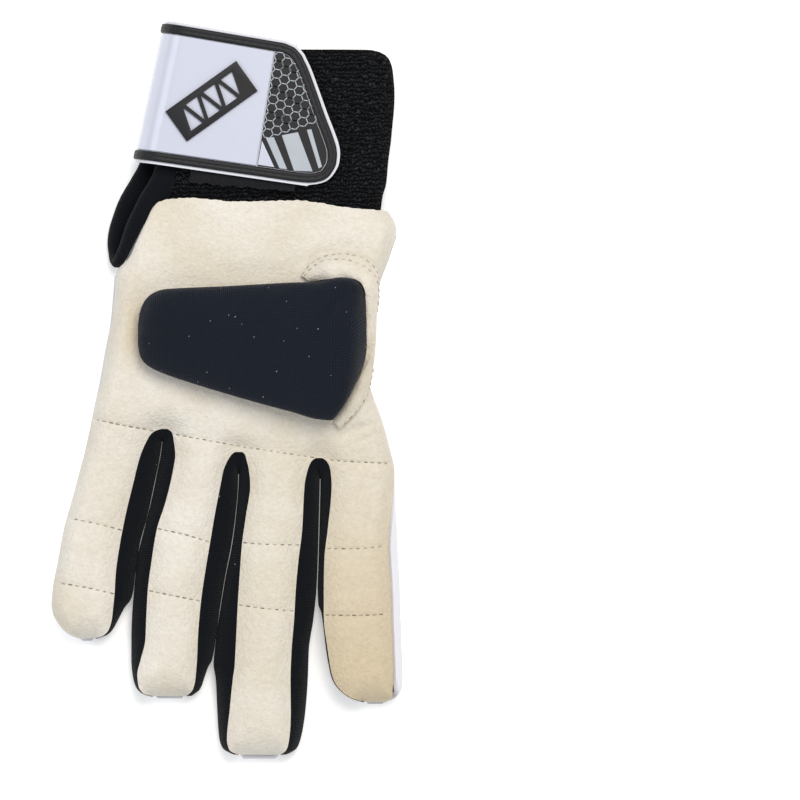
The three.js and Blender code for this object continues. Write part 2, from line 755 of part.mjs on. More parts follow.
// A tube wall between matching outer and inner rings; a closed first end gets two caps.
function tubeGeometry(outer, inner, { closedStart = false, turned = false } = {}) {
  const n = outer[0].length;
  const position = [];
  const index = [];
  const put = (rings) => {
    const base = position.length / 3;
    for (const r of rings) for (const p of r) position.push(...p);
    return base;
  };
  const centre = (r) => {
    const sum = [0, 0, 0];
    for (const p of r) for (let k = 0; k < 3; k++) sum[k] += p[k] / r.length;
    position.push(...sum);
    return position.length / 3 - 1;
  };
  const walls = (base, rows, flip) => {
    for (let r = 1; r < rows; r++) {
      for (let i = 0; i < n; i++) {
        const j = (i + 1) % n;
        const [a, b] = [base + (r - 1) * n + i, base + (r - 1) * n + j];
        const [c, d] = [base + r * n + j, base + r * n + i];
        if (flip) index.push(a, c, b, a, d, c);
        else index.push(a, b, c, a, c, d);
      }
    }
  };
  const lip = (oBase, iBase, flip) => {
    for (let i = 0; i < n; i++) {
      const j = (i + 1) % n;
      const [a, b, c, d] = [oBase + i, oBase + j, iBase + j, iBase + i];
      if (flip) index.push(a, c, b, a, d, c);
      else index.push(a, b, c, a, c, d);
    }
  };
  const cap = (base, r, flip) => {
    const c = centre(r);
    for (let i = 0; i < n; i++) {
      const j = (i + 1) % n;
      if (flip) index.push(c, base + i, base + j);
      else index.push(c, base + j, base + i);
    }
  };
  const o = put(outer);
  const q = put(inner);
  walls(o, outer.length, turned);
  walls(q, inner.length, !turned);
  lip(o + (outer.length - 1) * n, q + (inner.length - 1) * n, turned);
  if (closedStart) {
    cap(o, outer[0], turned);
    cap(q, inner[0], !turned);
  } else {
    lip(o, q, !turned);
  }
  return new THREE.BufferGeometry()
    .setAttribute("position", new THREE.Float32BufferAttribute(position, 3))
    .setIndex(index);
}

// The rib-knit cuff: y, both outlines, underside and top; its lower end sits inside the glove.
const CUFF = new Table(
  ["y", "left", "right", "low", "high"],
  [
    [123.2, -15.6, 52.6, 2.4, 18.4],
    [122.3, -17.5, 56.0, 2.3, 18.6],
    [119.6, -18.9, 58.9, 2.4, 18.6],
    [115.2, -20.0, 60.1, 2.2, 18.8],
    [106.9, -21.1, 60.5, 2.2, 18.8],
    [96.1, -21.6, 59.9, 2.2, 18.8],
    [83.5, -21.8, 58.3, 2.2, 18.8],
    [74.5, -21.8, 57.4, 2.2, 18.8],
    [71.2, -21.6, 56.4, 2.2, 16.8],
    [62.5, -20.7, 55.2, 2.2, 16.7],
  ],
);

function cuff() {
  const loop = ring(28, 3.4);
  const section = (row, wall) => {
    const [y, left, right, low, high] = row;
    const cx = (left + right) / 2;
    const cz = (low + high) / 2;
    const hx = (right - left) / 2 - wall;
    const hz = (high - low) / 2 - wall;
    return loop.map(([c, s]) => [cx + hx * c, y, cz + hz * s]);
  };
  const outer = CUFF.rows.map((row) => section(row, 0));
  const inner = CUFF.rows.map((row) => section(row, KNIT_WALL));
  return tubeGeometry(outer, inner);
}

// The thumb lies over the palm from its tip to a fold at the root, where it turns down.
const THUMB_BODY = new Table(
  ["x", "top", "bottom", "low", "high"],
  [
    [-31.6, 24.0, 17.0, 23.2, 25.6],
    [-31.0, 28.2, 13.4, 21.6, 27.2],
    [-29.4, 32.4, 10.6, 20.4, 28.6],
    [-26.4, 35.4, 8.4, 19.7, 29.8],
    [-22.1, 36.9, 6.5, 19.4, 30.5],
    [-14.0, 37.4, 3.7, 19.4, 31.0],
    [-2.0, 37.9, 0.0, 19.4, 31.5],
    [11.0, 38.6, -3.8, 19.4, 32.1],
    [24.0, 39.3, -7.3, 19.5, 32.5],
    [33.0, 39.5, -9.8, 19.9, 32.8],
    [37.8, 40.7, -10.2, 20.3, 32.8],
  ],
);
const FOLD_X = 37.8;
const FOLD_Z = 19.4;
const FOLD_NEAR = 0.9;
const FOLD_FAR = 13.4;
const THUMB_FOLD = [
  { turn: 20, top: 41.1, bottom: -7.0, square: 3.4 },
  { turn: 38, top: 41.0, bottom: -1.6, square: 4.2 },
  { turn: 56, top: 40.4, bottom: 4.4, square: 4.2 },
  { turn: 74, top: 38.4, bottom: 8.4, square: 3.6 },
  { turn: 90, top: 36.5, bottom: 11.0, square: 2.8 },
];

function thumbSleeve() {
  const loop = ring(18, 2.5);
  const body = (row, wall) => {
    const [x, top, bottom, low, high] = row;
    const hy = Math.max(0.6, (top - bottom) / 2 - wall);
    const hz = Math.max(0.4, (high - low) / 2 - wall);
    return loop.map(([c, s]) => [x, (top + bottom) / 2 - hy * c, (low + high) / 2 + hz * s]);
  };
  const fold = ({ turn, top, bottom, square }, wall) => {
    const a = (turn * Math.PI) / 180;
    const hy = (top - bottom) / 2 - wall;
    const hr = (FOLD_FAR - FOLD_NEAR) / 2 - wall;
    return ring(18, square).map(([c, s]) => {
      const r = (FOLD_FAR + FOLD_NEAR) / 2 + hr * s;
      return [FOLD_X + r * Math.sin(a), (top + bottom) / 2 - hy * c, FOLD_Z + r * Math.cos(a)];
    });
  };
  const outer = [...THUMB_BODY.rows.map((r) => body(r, 0)), ...THUMB_FOLD.map((r) => fold(r, 0))];
  const shift = (r, i) => (i === 0 ? [r[0] + THUMB_WALL, ...r.slice(1)] : r);
  const innerRows = THUMB_BODY.rows.filter((r, i) => i !== 1).map(shift);
  const inner = [
    ...innerRows.map((r) => body(r, THUMB_WALL)),
    ...THUMB_FOLD.map((r) => fold(r, THUMB_WALL)),
  ];
  return tubeGeometry(outer, inner, { closedStart: true, turned: true });
}

// Through-hole in the palm under the mouth of the thumb.
function thumbHole() {
  const [hx, hy] = [(FOLD_FAR - FOLD_NEAR) / 2 - THUMB_WALL, 12.75 - THUMB_WALL];
  const shape = new THREE.Shape(ring(24, 2.5).map(([c, s]) => new THREE.Vector2(hx * c, hy * s)));
  const hole = new THREE.ExtrudeGeometry(shape, { depth: 20, bevelEnabled: false });
  return hole.translate(FOLD_X + (FOLD_FAR + FOLD_NEAR) / 2, 23.75, 8);
}

// Leather rim round the thumb's root: outer edge, crest and inner edge of each section.
const RIM = [
  { ox: 27.5, oy: 41.4, cx: 28.9, cy: 41.2, cz: 20.6, ix: 30.4, iy: 40.9, iz: 20.4 },
  { ox: 31.4, oy: 46.0, cx: 32.8, cy: 43.9, cz: 22.2, ix: 34.2, iy: 41.9, iz: 22.0 },
  { ox: 36.0, oy: 48.2, cx: 37.0, cy: 45.4, cz: 23.0, ix: 38.4, iy: 42.9, iz: 22.6 },
  { ox: 41.8, oy: 49.2, cx: 41.9, cy: 45.4, cz: 23.4, ix: 42.4, iy: 43.1, iz: 22.9 },
  { ox: 47.0, oy: 48.8, cx: 46.4, cy: 44.2, cz: 23.4, ix: 46.0, iy: 42.4, iz: 23.1 },
  { ox: 51.4, oy: 46.2, cx: 50.2, cy: 42.0, cz: 23.0, ix: 49.2, iy: 40.8, iz: 23.0 },
  { ox: 53.6, oy: 42.0, cx: 52.4, cy: 39.2, cz: 21.9, ix: 50.9, iy: 38.3, iz: 22.9 },
  { ox: 53.6, oy: 36.0, cx: 53.1, cy: 35.2, cz: 20.8, ix: 51.7, iy: 35.0, iz: 22.6 },
  { ox: 52.8, oy: 28.0, cx: 52.8, cy: 28.0, cz: 20.0, ix: 51.9, iy: 28.0, iz: 22.4 },
  { ox: 52.4, oy: 19.5, cx: 52.5, cy: 19.5, cz: 19.8, ix: 51.8, iy: 19.6, iz: 22.2 },
  { ox: 51.8, oy: 12.0, cx: 51.9, cy: 12.2, cz: 19.4, ix: 51.4, iy: 12.8, iz: 21.6 },
  { ox: 50.8, oy: 4.6, cx: 50.7, cy: 5.6, cz: 19.8, ix: 50.0, iy: 6.6, iz: 20.8 },
  { ox: 48.8, oy: -2.6, cx: 47.9, cy: -1.0, cz: 20.2, ix: 47.2, iy: 0.4, iz: 20.2 },
  { ox: 45.0, oy: -7.8, cx: 44.5, cy: -6.3, cz: 19.9, ix: 44.0, iy: -5.0, iz: 19.9 },
  { ox: 39.8, oy: -12.6, cx: 39.7, cy: -11.9, cz: 19.2, ix: 39.6, iy: -11.2, iz: 19.3 },
];

function thumbRim() {
  const skin = new Skin(RIM_WALL, { up: false });
  let previous = null;
  for (const { ox, oy, cx, cy, cz, ix, iy, iz } of RIM) {
    const edge = Math.max(13, leatherHeight(Math.min(ox, rightSeam(oy).x - 0.05), oy) + RIM_CLEARANCE);
    const row = [
      skin.point([ix, iy, iz]),
      skin.point([mix(ix, cx, 0.5), mix(iy, cy, 0.5), mix(iz, cz, 0.5) + 0.35]),
      skin.point([cx, cy, cz]),
      skin.point([mix(cx, ox, 0.6), mix(cy, oy, 0.6), mix(cz, edge, 0.5)]),
      skin.point([ox, oy, edge]),
    ];
    if (previous) skin.strip(previous, row);
    previous = row;
  }
  return skin.geometry();
}

// One jersey roll down the palm side of the slit and up its back side.
const BINDING = [
  { x: -23.1, y: 79.8, z: 15.2, wide: 2.2, high: 1.8 },
  { x: -25.4, y: 73.4, z: 15.2, wide: 2.9, high: 2.0 },
  { x: -29.4, y: 66.9, z: 15.0, wide: 2.9, high: 2.0 },
  { x: -32.4, y: 61.2, z: 14.3, wide: 2.5, high: 2.0 },
  { x: -34.7, y: 55.8, z: 13.2, wide: 2.4, high: 2.0 },
  { x: -36.9, y: 50.8, z: 11.0, wide: 2.1, high: 2.0 },
  { x: -39.6, y: 47.4, z: 8.0, wide: 2.0, high: 2.0 },
  { x: -40.3, y: 48.6, z: 5.4, wide: 2.1, high: 2.3 },
  { x: -40.2, y: 52.4, z: 4.0, wide: 2.4, high: 2.8 },
  { x: -39.4, y: 57.6, z: 3.7, wide: 2.8, high: 3.1 },
  { x: -37.8, y: 63.8, z: 3.7, wide: 3.1, high: 3.1 },
  { x: -34.6, y: 70.3, z: 3.7, wide: 3.4, high: 3.1 },
  { x: -31.6, y: 75.6, z: 3.8, wide: 3.4, high: 3.1 },
  { x: -29.2, y: 79.9, z: 4.0, wide: 3.3, high: 3.0 },
];

function ventBinding() {
  const sides = 8;
  const centres = BINDING.map((b) => new THREE.Vector3(b.x, b.y, b.z));
  const curve = new THREE.CatmullRomCurve3(centres);
  const position = [];
  const index = [];
  const across = new THREE.Vector3();
  const other = new THREE.Vector3();
  let hint = new THREE.Vector3(1, 0, 0);
  BINDING.forEach(({ wide, high }, i) => {
    const tangent = curve.getTangent(i / (BINDING.length - 1));
    across.copy(hint).addScaledVector(tangent, -hint.dot(tangent)).normalize();
    hint = across.clone();
    other.crossVectors(tangent, across);
    for (let k = 0; k < sides; k++) {
      const a = (k / sides) * 2 * Math.PI;
      const p = centres[i].clone();
      p.addScaledVector(across, wide * Math.cos(a)).addScaledVector(other, high * Math.sin(a));
      position.push(p.x, p.y, p.z);
    }
  });
  for (let i = 1; i < BINDING.length; i++) {
    for (let k = 0; k < sides; k++) {
      const j = (k + 1) % sides;
      const [a, b] = [(i - 1) * sides + k, (i - 1) * sides + j];
      const [c, d] = [i * sides + j, i * sides + k];
      index.push(a, b, c, a, c, d);
    }
  }
  for (const [i, flip] of [[0, false], [BINDING.length - 1, true]]) {
    const c = position.length / 3;
    position.push(centres[i].x, centres[i].y, centres[i].z);
    for (let k = 0; k < sides; k++) {
      const [a, b] = [i * sides + k, i * sides + ((k + 1) % sides)];
      if (flip) index.push(c, a, b);
      else index.push(c, b, a);
    }
  }
  return new THREE.BufferGeometry()
    .setAttribute("position", new THREE.Float32BufferAttribute(position, 3))
    .setIndex(index);
}

// The strap in its own frame: along from the fold to the tab, across from edge to edge.
const STRAP_MIDDLE = { x: -27.5, y: 107.7 };
const STRAP_TURN = -0.169;
const STRAP_WALL = 1.4;
const STRAP_TOP = 22.2;
const STRAP_UNDER = 40;
const FOLD_REACH = 8;
const STRAP_UPPER = 26.5;
const STRAP_LOWER = -25.35;
const STRAP_LOWER_TAPER = 0.026;
const FOLD_SLANT = 0.042;
const TRIM_GAP = 0.3;

// Outline of the tab's end: across, along.
const TAB_END = new Table(
  ["across", "along"],
  [
    [26.5, 43.5],
    [26.1, 45.5],
    [25.4, 48.0],
    [24.0, 50.1],
    [22.85, 51.5],
    [21.5, 52.5],
    [19, 54.4],
    [11, 59.4],
    [3, 64.2],
    [-5, 69.2],
    [-8, 70.8],
    [-11, 71.7],
    [-14.2, 72.0],
    [-18, 71.0],
    [-19.6, 70.2],
    [-21.3, 68.6],
    [-22.6, 66],
    [-23.5, 62.6],
  ],
);

// A point on the strap, run back from the tab: along > 0 on top, < 0 round the fold.
function strapPoint(along, across, rise) {
  const halfHeight = STRAP_TOP / 2;
  const arc = (Math.PI / 2) * (FOLD_REACH + halfHeight);
  let a;
  let z;
  let na = 0;
  let nz = 1;
  if (along >= FOLD_REACH) {
    a = along;
    z = STRAP_TOP;
  } else {
    const back = FOLD_REACH - along;
    const turn = Math.min(Math.PI, (back / arc) * Math.PI);
    a = FOLD_REACH - FOLD_REACH * Math.sin(turn);
    z = halfHeight + halfHeight * Math.cos(turn);
    na = -Math.sin(turn) * halfHeight;
    nz = Math.cos(turn) * FOLD_REACH;
    if (back > arc) a = FOLD_REACH + (back - arc);
  }
  const n = Math.hypot(na, nz);
  a += FOLD_SLANT * across + (rise * na) / n;
  z += (rise * nz) / n;
  const [c, s] = [Math.cos(STRAP_TURN), Math.sin(STRAP_TURN)];
  return [STRAP_MIDDLE.x + a * c - across * s, STRAP_MIDDLE.y + a * s + across * c, z];
}

const strapLower = (along) => STRAP_LOWER + STRAP_LOWER_TAPER * Math.max(0, along);
const FOLD_ARC = (Math.PI / 2) * (FOLD_REACH + STRAP_TOP / 2);

// A thin solid over a patch of the strap, between two heights above its outer face.
function strapSheet(rows, low, high) {
  const skin = new Skin(1);
  const top = rows.map((row) => row.map(([a, b]) => strapPoint(a, b, high)));
  const base = rows.map((row) => row.map(([a, b]) => strapPoint(a, b, low)));
  const ids = top.map((row, i) =>
    row.map((p, j) => {
      const q = base[i][j];
      const n = [p[0] - q[0], p[1] - q[1], p[2] - q[2]];
      return skin.point(p, n);
    }),
  );
  skin.wall = high - low;
  for (let i = 1; i < ids.length; i++) skin.strip(ids[i - 1], ids[i]);
  return skin.geometry();
}

function wristStrap() {
  const shares = [0, 0.02, 0.07, 0.14, 0.25, 0.45, 0.65, 0.82, 0.9, 0.96, 0.99, 1];
  const alongs = [];
  for (const t of [0, 0.5, 1]) alongs.push(FOLD_REACH - FOLD_ARC - STRAP_UNDER * (1 - t));
  for (let i = 1; i <= 9; i++) alongs.push(FOLD_REACH - FOLD_ARC * (1 - i / 9));
  const tabShares = [0.35, 0.7, 1];
  const rows = [];
  const across = (share, along) => mix(STRAP_UPPER, strapLower(along), share);
  for (const a of alongs) rows.push(shares.map((q) => [a, across(q, a)]));
  for (const t of tabShares) {
    rows.push(
      shares.map((q) => {
        const end = TAB_END.at(across(q, 55), "along");
        const a = mix(FOLD_REACH, end, t);
        return [a, across(q, a)];
      }),
    );
  }
  return strapSheet(rows.map((r) => r.toReversed()), -STRAP_WALL, 0);
}

// Outline of the strap's visible edge from the fold along the bottom, round the tab and back.
function strapOutline(inset) {
  const line = [];
  for (const a of [-9, -4.5, 0, 4, 8, 20, 34, 48, 58]) line.push([a, strapLower(a)]);
  for (const [b, a] of TAB_END.rows.toReversed()) line.push([a, b]);
  for (const a of [40, 30, 19, 8, 4, 0, -4.5, -9]) line.push([a, STRAP_UPPER]);
  return line.map((p, i) => {
    const q = line[Math.max(0, i - 1)];
    const r = line[Math.min(line.length - 1, i + 1)];
    const [tx, ty] = [r[0] - q[0], r[1] - q[1]];
    const n = Math.hypot(tx, ty);
    return [p[0] - (inset * ty) / n, p[1] + (inset * tx) / n];
  });
}

const BORDER_INSET = 1.0;
const BORDER_WIDTH = 3.4;
const BORDER_HEIGHT = 0.9;
const FIELD_HEIGHT = 0.5;
const FIELD_END = 41.9;
const FIELD_LEAN = -0.056;
const fieldEnd = (across) => FIELD_END + FIELD_LEAN * across;

function strapBorder() {
  const outer = strapOutline(BORDER_INSET);
  const inner = strapOutline(BORDER_INSET + BORDER_WIDTH);
  const rows = outer.map((p, i) => [p, inner[i]]);
  return strapSheet(rows, TRIM_GAP, TRIM_GAP + BORDER_HEIGHT);
}

function strapField() {
  const inset = BORDER_INSET + BORDER_WIDTH + TRIM_GAP;
  const rows = [-9, -6, -3, 0, 2.7, 5.4, 8, 24, null].map((a) => {
    const lower = strapLower(a ?? FIELD_END) + inset;
    const upper = STRAP_UPPER - inset;
    return [0, 0.5, 1].map((t) => {
      const b = mix(lower, upper, t);
      return [a ?? fieldEnd(b), b];
    });
  });
  return strapSheet(rows, TRIM_GAP, TRIM_GAP + FIELD_HEIGHT);
}

// A flat patch on the tab, from its outline in along and across.
function tabPatch(outline, height) {
  const points = outline.map(([a, b]) => {
    const [x, y] = strapPoint(a, b, 0);
    return new THREE.Vector2(x, y);
  });
  const shape = new THREE.Shape(points);
  const patch = new THREE.ExtrudeGeometry(shape, { depth: height, bevelEnabled: false });
  return patch.translate(0, 0, STRAP_TOP + TRIM_GAP);
}

// Bars of the tab: upper left, upper right, lower right, lower left.
const TAB_BARS = [
  [[44.3, -9.2], [47.1, -8.4], [54.3, -19.1], [51.4, -19.2]],
  [[49.7, -7.3], [55.2, -5.2], [63.4, -18.3], [56.7, -19.2]],
  [[58.1, -3.9], [59.7, -3.3], [66.3, -16.0], [65.2, -16.9]],
];
const TAB_CORNER = [[43.7, -10.8], [49.6, -19.1], [44.2, -19.2]];

// Black ground of the tab, cut away where the bars and the white corner stand.
function tabPanel() {
  const edge = strapOutline(BORDER_INSET + BORDER_WIDTH + TRIM_GAP);
  const around = edge.filter(([a]) => a > 44);
  const low = strapLower(42) + BORDER_INSET + BORDER_WIDTH + TRIM_GAP;
  const high = STRAP_UPPER - BORDER_INSET - BORDER_WIDTH - TRIM_GAP;
  const start = [fieldEnd(low) + TRIM_GAP, low];
  const end = [fieldEnd(high) + TRIM_GAP, high];
  return solidOf(tabPatch([start, ...around, end], FIELD_HEIGHT));
}

function grown(outline, by) {
  const cx = outline.reduce((s, p) => s + p[0], 0) / outline.length;
  const cy = outline.reduce((s, p) => s + p[1], 0) / outline.length;
  return outline.map(([a, b]) => {
    const n = Math.hypot(a - cx, b - cy);
    return [a + (by * (a - cx)) / n, b + (by * (b - cy)) / n];
  });
}

// Raised motif: a band pierced by a row of triangles that point up and down in turn.
const MOTIF = { along: 22.5, across: 0.5, length: 31, height: 13, stroke: 2, cells: 6, turn: 0.62 };

function strapMotif() {
  const { length, height, stroke, cells } = MOTIF;
  const prism = (outline, depth) => {
    const shape = new THREE.Shape(outline.map(([x, y]) => new THREE.Vector2(x, y)));
    return new THREE.ExtrudeGeometry(shape, { depth, bevelEnabled: false });
  };
  const [w, h] = [length / 2, height / 2];
  let plate = solidOf(prism([[-w, -h], [w, -h], [w, h], [-w, h]], BORDER_HEIGHT));
  const pitch = (length - 2 * stroke) / (cells + 1);
  for (let i = 0; i < cells; i++) {
    const middle = -w + stroke + pitch * (i + 1);
    const point = i % 2 ? -h + stroke : h - stroke;
    const reach = pitch - 0.6 * stroke;
    const hole = [[middle - reach, -point], [middle + reach, -point], [middle, point]];
    const cutter = prism(hole, 3 * BORDER_HEIGHT).translate(0, 0, -BORDER_HEIGHT);
    plate = plate.subtract(solidOf(cutter));
  }
  const [x, y] = strapPoint(MOTIF.along, MOTIF.across, 0);
  const z = STRAP_TOP + TRIM_GAP + FIELD_HEIGHT + TRIM_GAP;
  return geometryOf(plate).rotateZ(MOTIF.turn).translate(x, y, z);
}

// Black patch on the cuff under the strap.
function fastenerPatch() {
  const patch = new THREE.BoxGeometry(38, 30, 1.3);
  patch.rotateZ(STRAP_TURN * 0.5);
  return patch.translate(7, 88.6, 19.1 + 0.65);
}

function solidOf(geometry) {
  const plain = geometry.index ? geometry.toNonIndexed() : geometry.clone();
  plain.deleteAttribute("normal");
  plain.deleteAttribute("uv");
  const merged = mergeVertices(plain, 1e-4);
  return new wasm.Manifold(
    new wasm.Mesh({
      numProp: 3,
      vertProperties: merged.attributes.position.array,
      triVerts: new Uint32Array(merged.index.array),
    }),
  );
}

function geometryOf(solid) {
  const mesh = solid.getMesh();
  return new THREE.BufferGeometry()
    .setAttribute("position", new THREE.BufferAttribute(mesh.vertProperties, 3))
    .setIndex(new THREE.BufferAttribute(mesh.triVerts, 1));
}

const FINISHES = {
  chamois: { color: 0xeee6d4, roughness: 0.9, metalness: 0 },
  backCloth: { color: 0xe9eaf1, roughness: 0.7, metalness: 0 },
  jersey: { color: 0x1d232c, roughness: 0.92, metalness: 0 },
  ribKnit: { color: 0x0e0f11, roughness: 0.95, metalness: 0 },
  strapVinyl: { color: 0xe2e4ee, roughness: 0.35, metalness: 0 },
  glossField: { color: 0xdfe3f4, roughness: 0.2, metalness: 0 },
  blackTrim: { color: 0x1c1d21, roughness: 0.55, metalness: 0 },
  greyBar: { color: 0xb4b8be, roughness: 0.5, metalness: 0 },
  loopPatch: { color: 0x131416, roughness: 0.95, metalness: 0 },
};

const glove = new THREE.Group();
glove.name = "wicketkeeping_inner_glove";
glove.position.set(ORIGIN_SHIFT.x, ORIGIN_SHIFT.y, 0);

function add(name, geometry, finish) {
  geometry.computeVertexNormals();
  const material = new THREE.MeshStandardMaterial(FINISHES[finish]);
  material.name = finish;
  const mesh = new THREE.Mesh(geometry, material);
  mesh.name = name;
  glove.add(mesh);
}

const leather = solidOf(palmLeather()).subtract(solidOf(thumbHole()));
add("palm_leather", geometryOf(leather), "chamois");
add("back_panel", backPanel(), "backCloth");
for (const gusset of GUSSETS) add(gusset.name, gussetGeometry(gusset), "jersey");
add("thumb_sleeve", thumbSleeve(), "jersey");
add("thumb_rim", thumbRim(), "chamois");
add("cuff", cuff(), "ribKnit");
add("vent_binding", ventBinding(), "jersey");
add("fastener_patch", fastenerPatch(), "loopPatch");
add("wrist_strap", wristStrap(), "strapVinyl");
add("strap_border", strapBorder(), "blackTrim");
add("strap_field", strapField(), "glossField");
let panel = tabPanel();
for (const outline of [...TAB_BARS, TAB_CORNER]) {
  const cutter = tabPatch(grown(outline, 0.45), 3).translate(0, 0, -1);
  panel = panel.subtract(solidOf(cutter));
}
const [ground] = panel.decompose().sort((a, b) => b.volume() - a.volume());
add("strap_tab_panel", geometryOf(ground), "blackTrim");
TAB_BARS.forEach((outline, i) => add("strap_bar_" + (i + 1), tabPatch(outline, BORDER_HEIGHT), "greyBar"));
add("strap_corner", tabPatch(TAB_CORNER, BORDER_HEIGHT), "glossField");
add("strap_motif", strapMotif(), "blackTrim");

export default glove;
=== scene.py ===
"""Looks of a left-hand wicketkeeping inner glove that lies palm up.

Sizes are millimetres in the glove's own frame, fingers along -Y and +Z up, until a mesh is made.
"""

import logging
import math
from collections.abc import Callable, Sequence
from dataclasses import dataclass, field
from enum import Enum

import bpy
import numpy as np
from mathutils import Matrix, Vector


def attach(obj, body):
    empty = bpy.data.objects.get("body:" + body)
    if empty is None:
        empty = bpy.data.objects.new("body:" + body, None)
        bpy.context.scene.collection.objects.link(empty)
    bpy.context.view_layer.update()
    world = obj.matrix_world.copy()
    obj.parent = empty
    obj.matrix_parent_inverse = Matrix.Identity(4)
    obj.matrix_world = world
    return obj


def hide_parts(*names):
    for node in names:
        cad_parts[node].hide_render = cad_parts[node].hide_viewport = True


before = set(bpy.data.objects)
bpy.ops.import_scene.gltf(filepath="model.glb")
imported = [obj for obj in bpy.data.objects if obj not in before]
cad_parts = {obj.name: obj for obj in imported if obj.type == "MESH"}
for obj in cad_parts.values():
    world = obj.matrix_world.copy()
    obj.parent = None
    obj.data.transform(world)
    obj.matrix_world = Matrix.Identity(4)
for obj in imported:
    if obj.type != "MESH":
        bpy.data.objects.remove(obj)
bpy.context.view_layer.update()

log = logging.getLogger("glove")
Array = np.ndarray
Value = float | np.ndarray
Source = bpy.types.Node | bpy.types.NodeSocket
MM = 0.001
ORIGIN_SHIFT = (0.11, -0.5)
STITCH_PITCH = 2.4


def mix(a: Value, b: Value, t: Value) -> Value:
    """Goes from a to b as t goes from 0 to 1."""
    return a + (b - a) * t


def smooth(start: float, end: float, value: Value) -> Value:
    """Eases from 0 at start to 1 at end."""
    t = np.clip((value - start) / (end - start), 0, 1)
    return t * t * (3 - 2 * t)


def curve_through(knots: Array, values: Array, at: Array) -> Array:
    """Reads a smooth curve that never swings past its own rows.

    Args:
        knots: Rising places of the rows, n of them.
        values: What each row holds, n by anything.
        at: Places to read, held inside the knots.

    Returns:
        The values at those places.
    """
    knots = np.asarray(knots, float)
    table = np.asarray(values, float)
    flat = table.reshape(len(knots), -1)
    step = np.diff(knots)[:, None]
    slope = np.diff(flat, axis=0) / step
    tangent = np.zeros_like(flat)
    tangent[0] = slope[0]
    tangent[-1] = slope[-1]
    if len(knots) > 2:
        before, after = slope[:-1], slope[1:]
        w1 = 2 * step[1:] + step[:-1]
        w2 = step[1:] + 2 * step[:-1]
        same = before * after > 0
        bottom = np.where(same, w1 / np.where(same, before, 1) + w2 / np.where(same, after, 1), 1)
        tangent[1:-1] = np.where(same, (w1 + w2) / bottom, 0)
    at = np.clip(np.asarray(at, float), knots[0], knots[-1])
    i = np.clip(np.searchsorted(knots, at.ravel(), side="right") - 1, 0, len(knots) - 2)
    h = step[i]
    t = (at.ravel()[:, None] - knots[i][:, None]) / h
    low, high = flat[i], flat[i + 1]
    curve = low * (1 + 2 * t) * (1 - t) ** 2 + tangent[i] * h * t * (1 - t) ** 2
    curve += high * t * t * (3 - 2 * t) + tangent[i + 1] * h * t * t * (t - 1)
    return curve.reshape(at.shape + table.shape[1:])


def refine(rows: Array, count: int) -> Array:
    """Puts count smooth rows through a few, spread evenly by length.

    Args:
        rows: Rows of points, n by m by 3.
        count: How many rows to give back.

    Returns:
        The new rows, count by m by 3.
    """
    gaps = np.linalg.norm(np.diff(rows, axis=0), axis=-1)
    gaps = gaps.reshape(len(gaps), -1).mean(axis=1)
    along = np.concatenate([[0], np.cumsum(gaps)])
    return curve_through(along, rows, np.linspace(0, along[-1], count))


def ripple(x: Array, y: Array, size: float, seed: int) -> Array:
    """Soft uneven ups and downs between about -1 and 1, the same each run.

    Args:
        x: Places across.
        y: Places along.
        size: Distance from one rise to the next.
        seed: Which set of waves to use.

    Returns:
        The height at each place.
    """
    rng = np.random.default_rng(seed)
    total = np.zeros(np.broadcast(x, y).shape)
    for _ in range(9):
        turn, phase = rng.uniform(0, 2 * math.pi, 2)
        k = 2 * math.pi / (size * rng.uniform(0.7, 1.6))
        total = total + np.sin(k * (x * math.cos(turn) + y * math.sin(turn)) + phase)
    return total / 4


def line_distance(line: Array, x: Array, y: Array) -> tuple[Array, Array]:
    """Distance in plan from places to a line of points.

    Args:
        line: Points of the line, n by 2.
        x: Places across.
        y: Places along.

    Returns:
        The distance, and how far along the line its nearest point is.
    """
    best = np.full(x.shape, 1e9)
    along = np.zeros(x.shape)
    start = 0.0
    for (ax, ay), (bx, by) in zip(line[:-1], line[1:]):
        lx, ly = bx - ax, by - ay
        length = math.hypot(lx, ly) or 1e-9
        t = np.clip(((x - ax) * lx + (y - ay) * ly) / length**2, 0, 1)
        d = np.hypot(x - ax - t * lx, y - ay - t * ly)
        nearer = d < best
        best = np.where(nearer, d, best)
        along = np.where(nearer, start + t * length, along)
        start += length
    return best, along


# Materials


def linear(colour: str) -> tuple[float, float, float, float]:
    """Turns an sRGB hex colour into the linear one that a socket takes."""
    parts = [int(colour[i : i + 2], 16) / 255 for i in (0, 2, 4)]
    rgb = [c / 12.92 if c <= 0.04045 else ((c + 0.055) / 1.055) ** 2.4 for c in parts]
    return (rgb[0], rgb[1], rgb[2], 1.0)


def add_node(
    material: bpy.types.Material,
    kind: str,
    settings: dict[str, object] | None = None,
    links: dict[str | int, Source] | None = None,
) -> bpy.types.Node:
    """Adds one node.

    Args:
        material: The material that gets the node.
        kind: The node's type after the word ShaderNode.
        settings: Values for its properties, or for its inputs by name or number.
        links: What feeds its inputs: a socket, or a node that stands for its first output.

    Returns:
        The new node.
    """
    node = material.node_tree.nodes.new("ShaderNode" + kind)
    for key, value in (settings or {}).items():
        if isinstance(key, str) and hasattr(node, key):
            setattr(node, key, value)
        else:
            node.inputs[key].default_value = value
    for key, source in (links or {}).items():
        socket = source.outputs[0] if isinstance(source, bpy.types.Node) else source
        material.node_tree.links.new(socket, node.inputs[key])
    return node


def start_material(name: str) -> tuple[bpy.types.Material, bpy.types.NodeSocket]:
    """Makes a node material that holds only its coordinates, and gives it and their socket."""
    material = bpy.data.materials.new(name)
    material.use_nodes = True
    material.node_tree.nodes.clear()
    return material, add_node(material, "TexCoord").outputs["Object"]


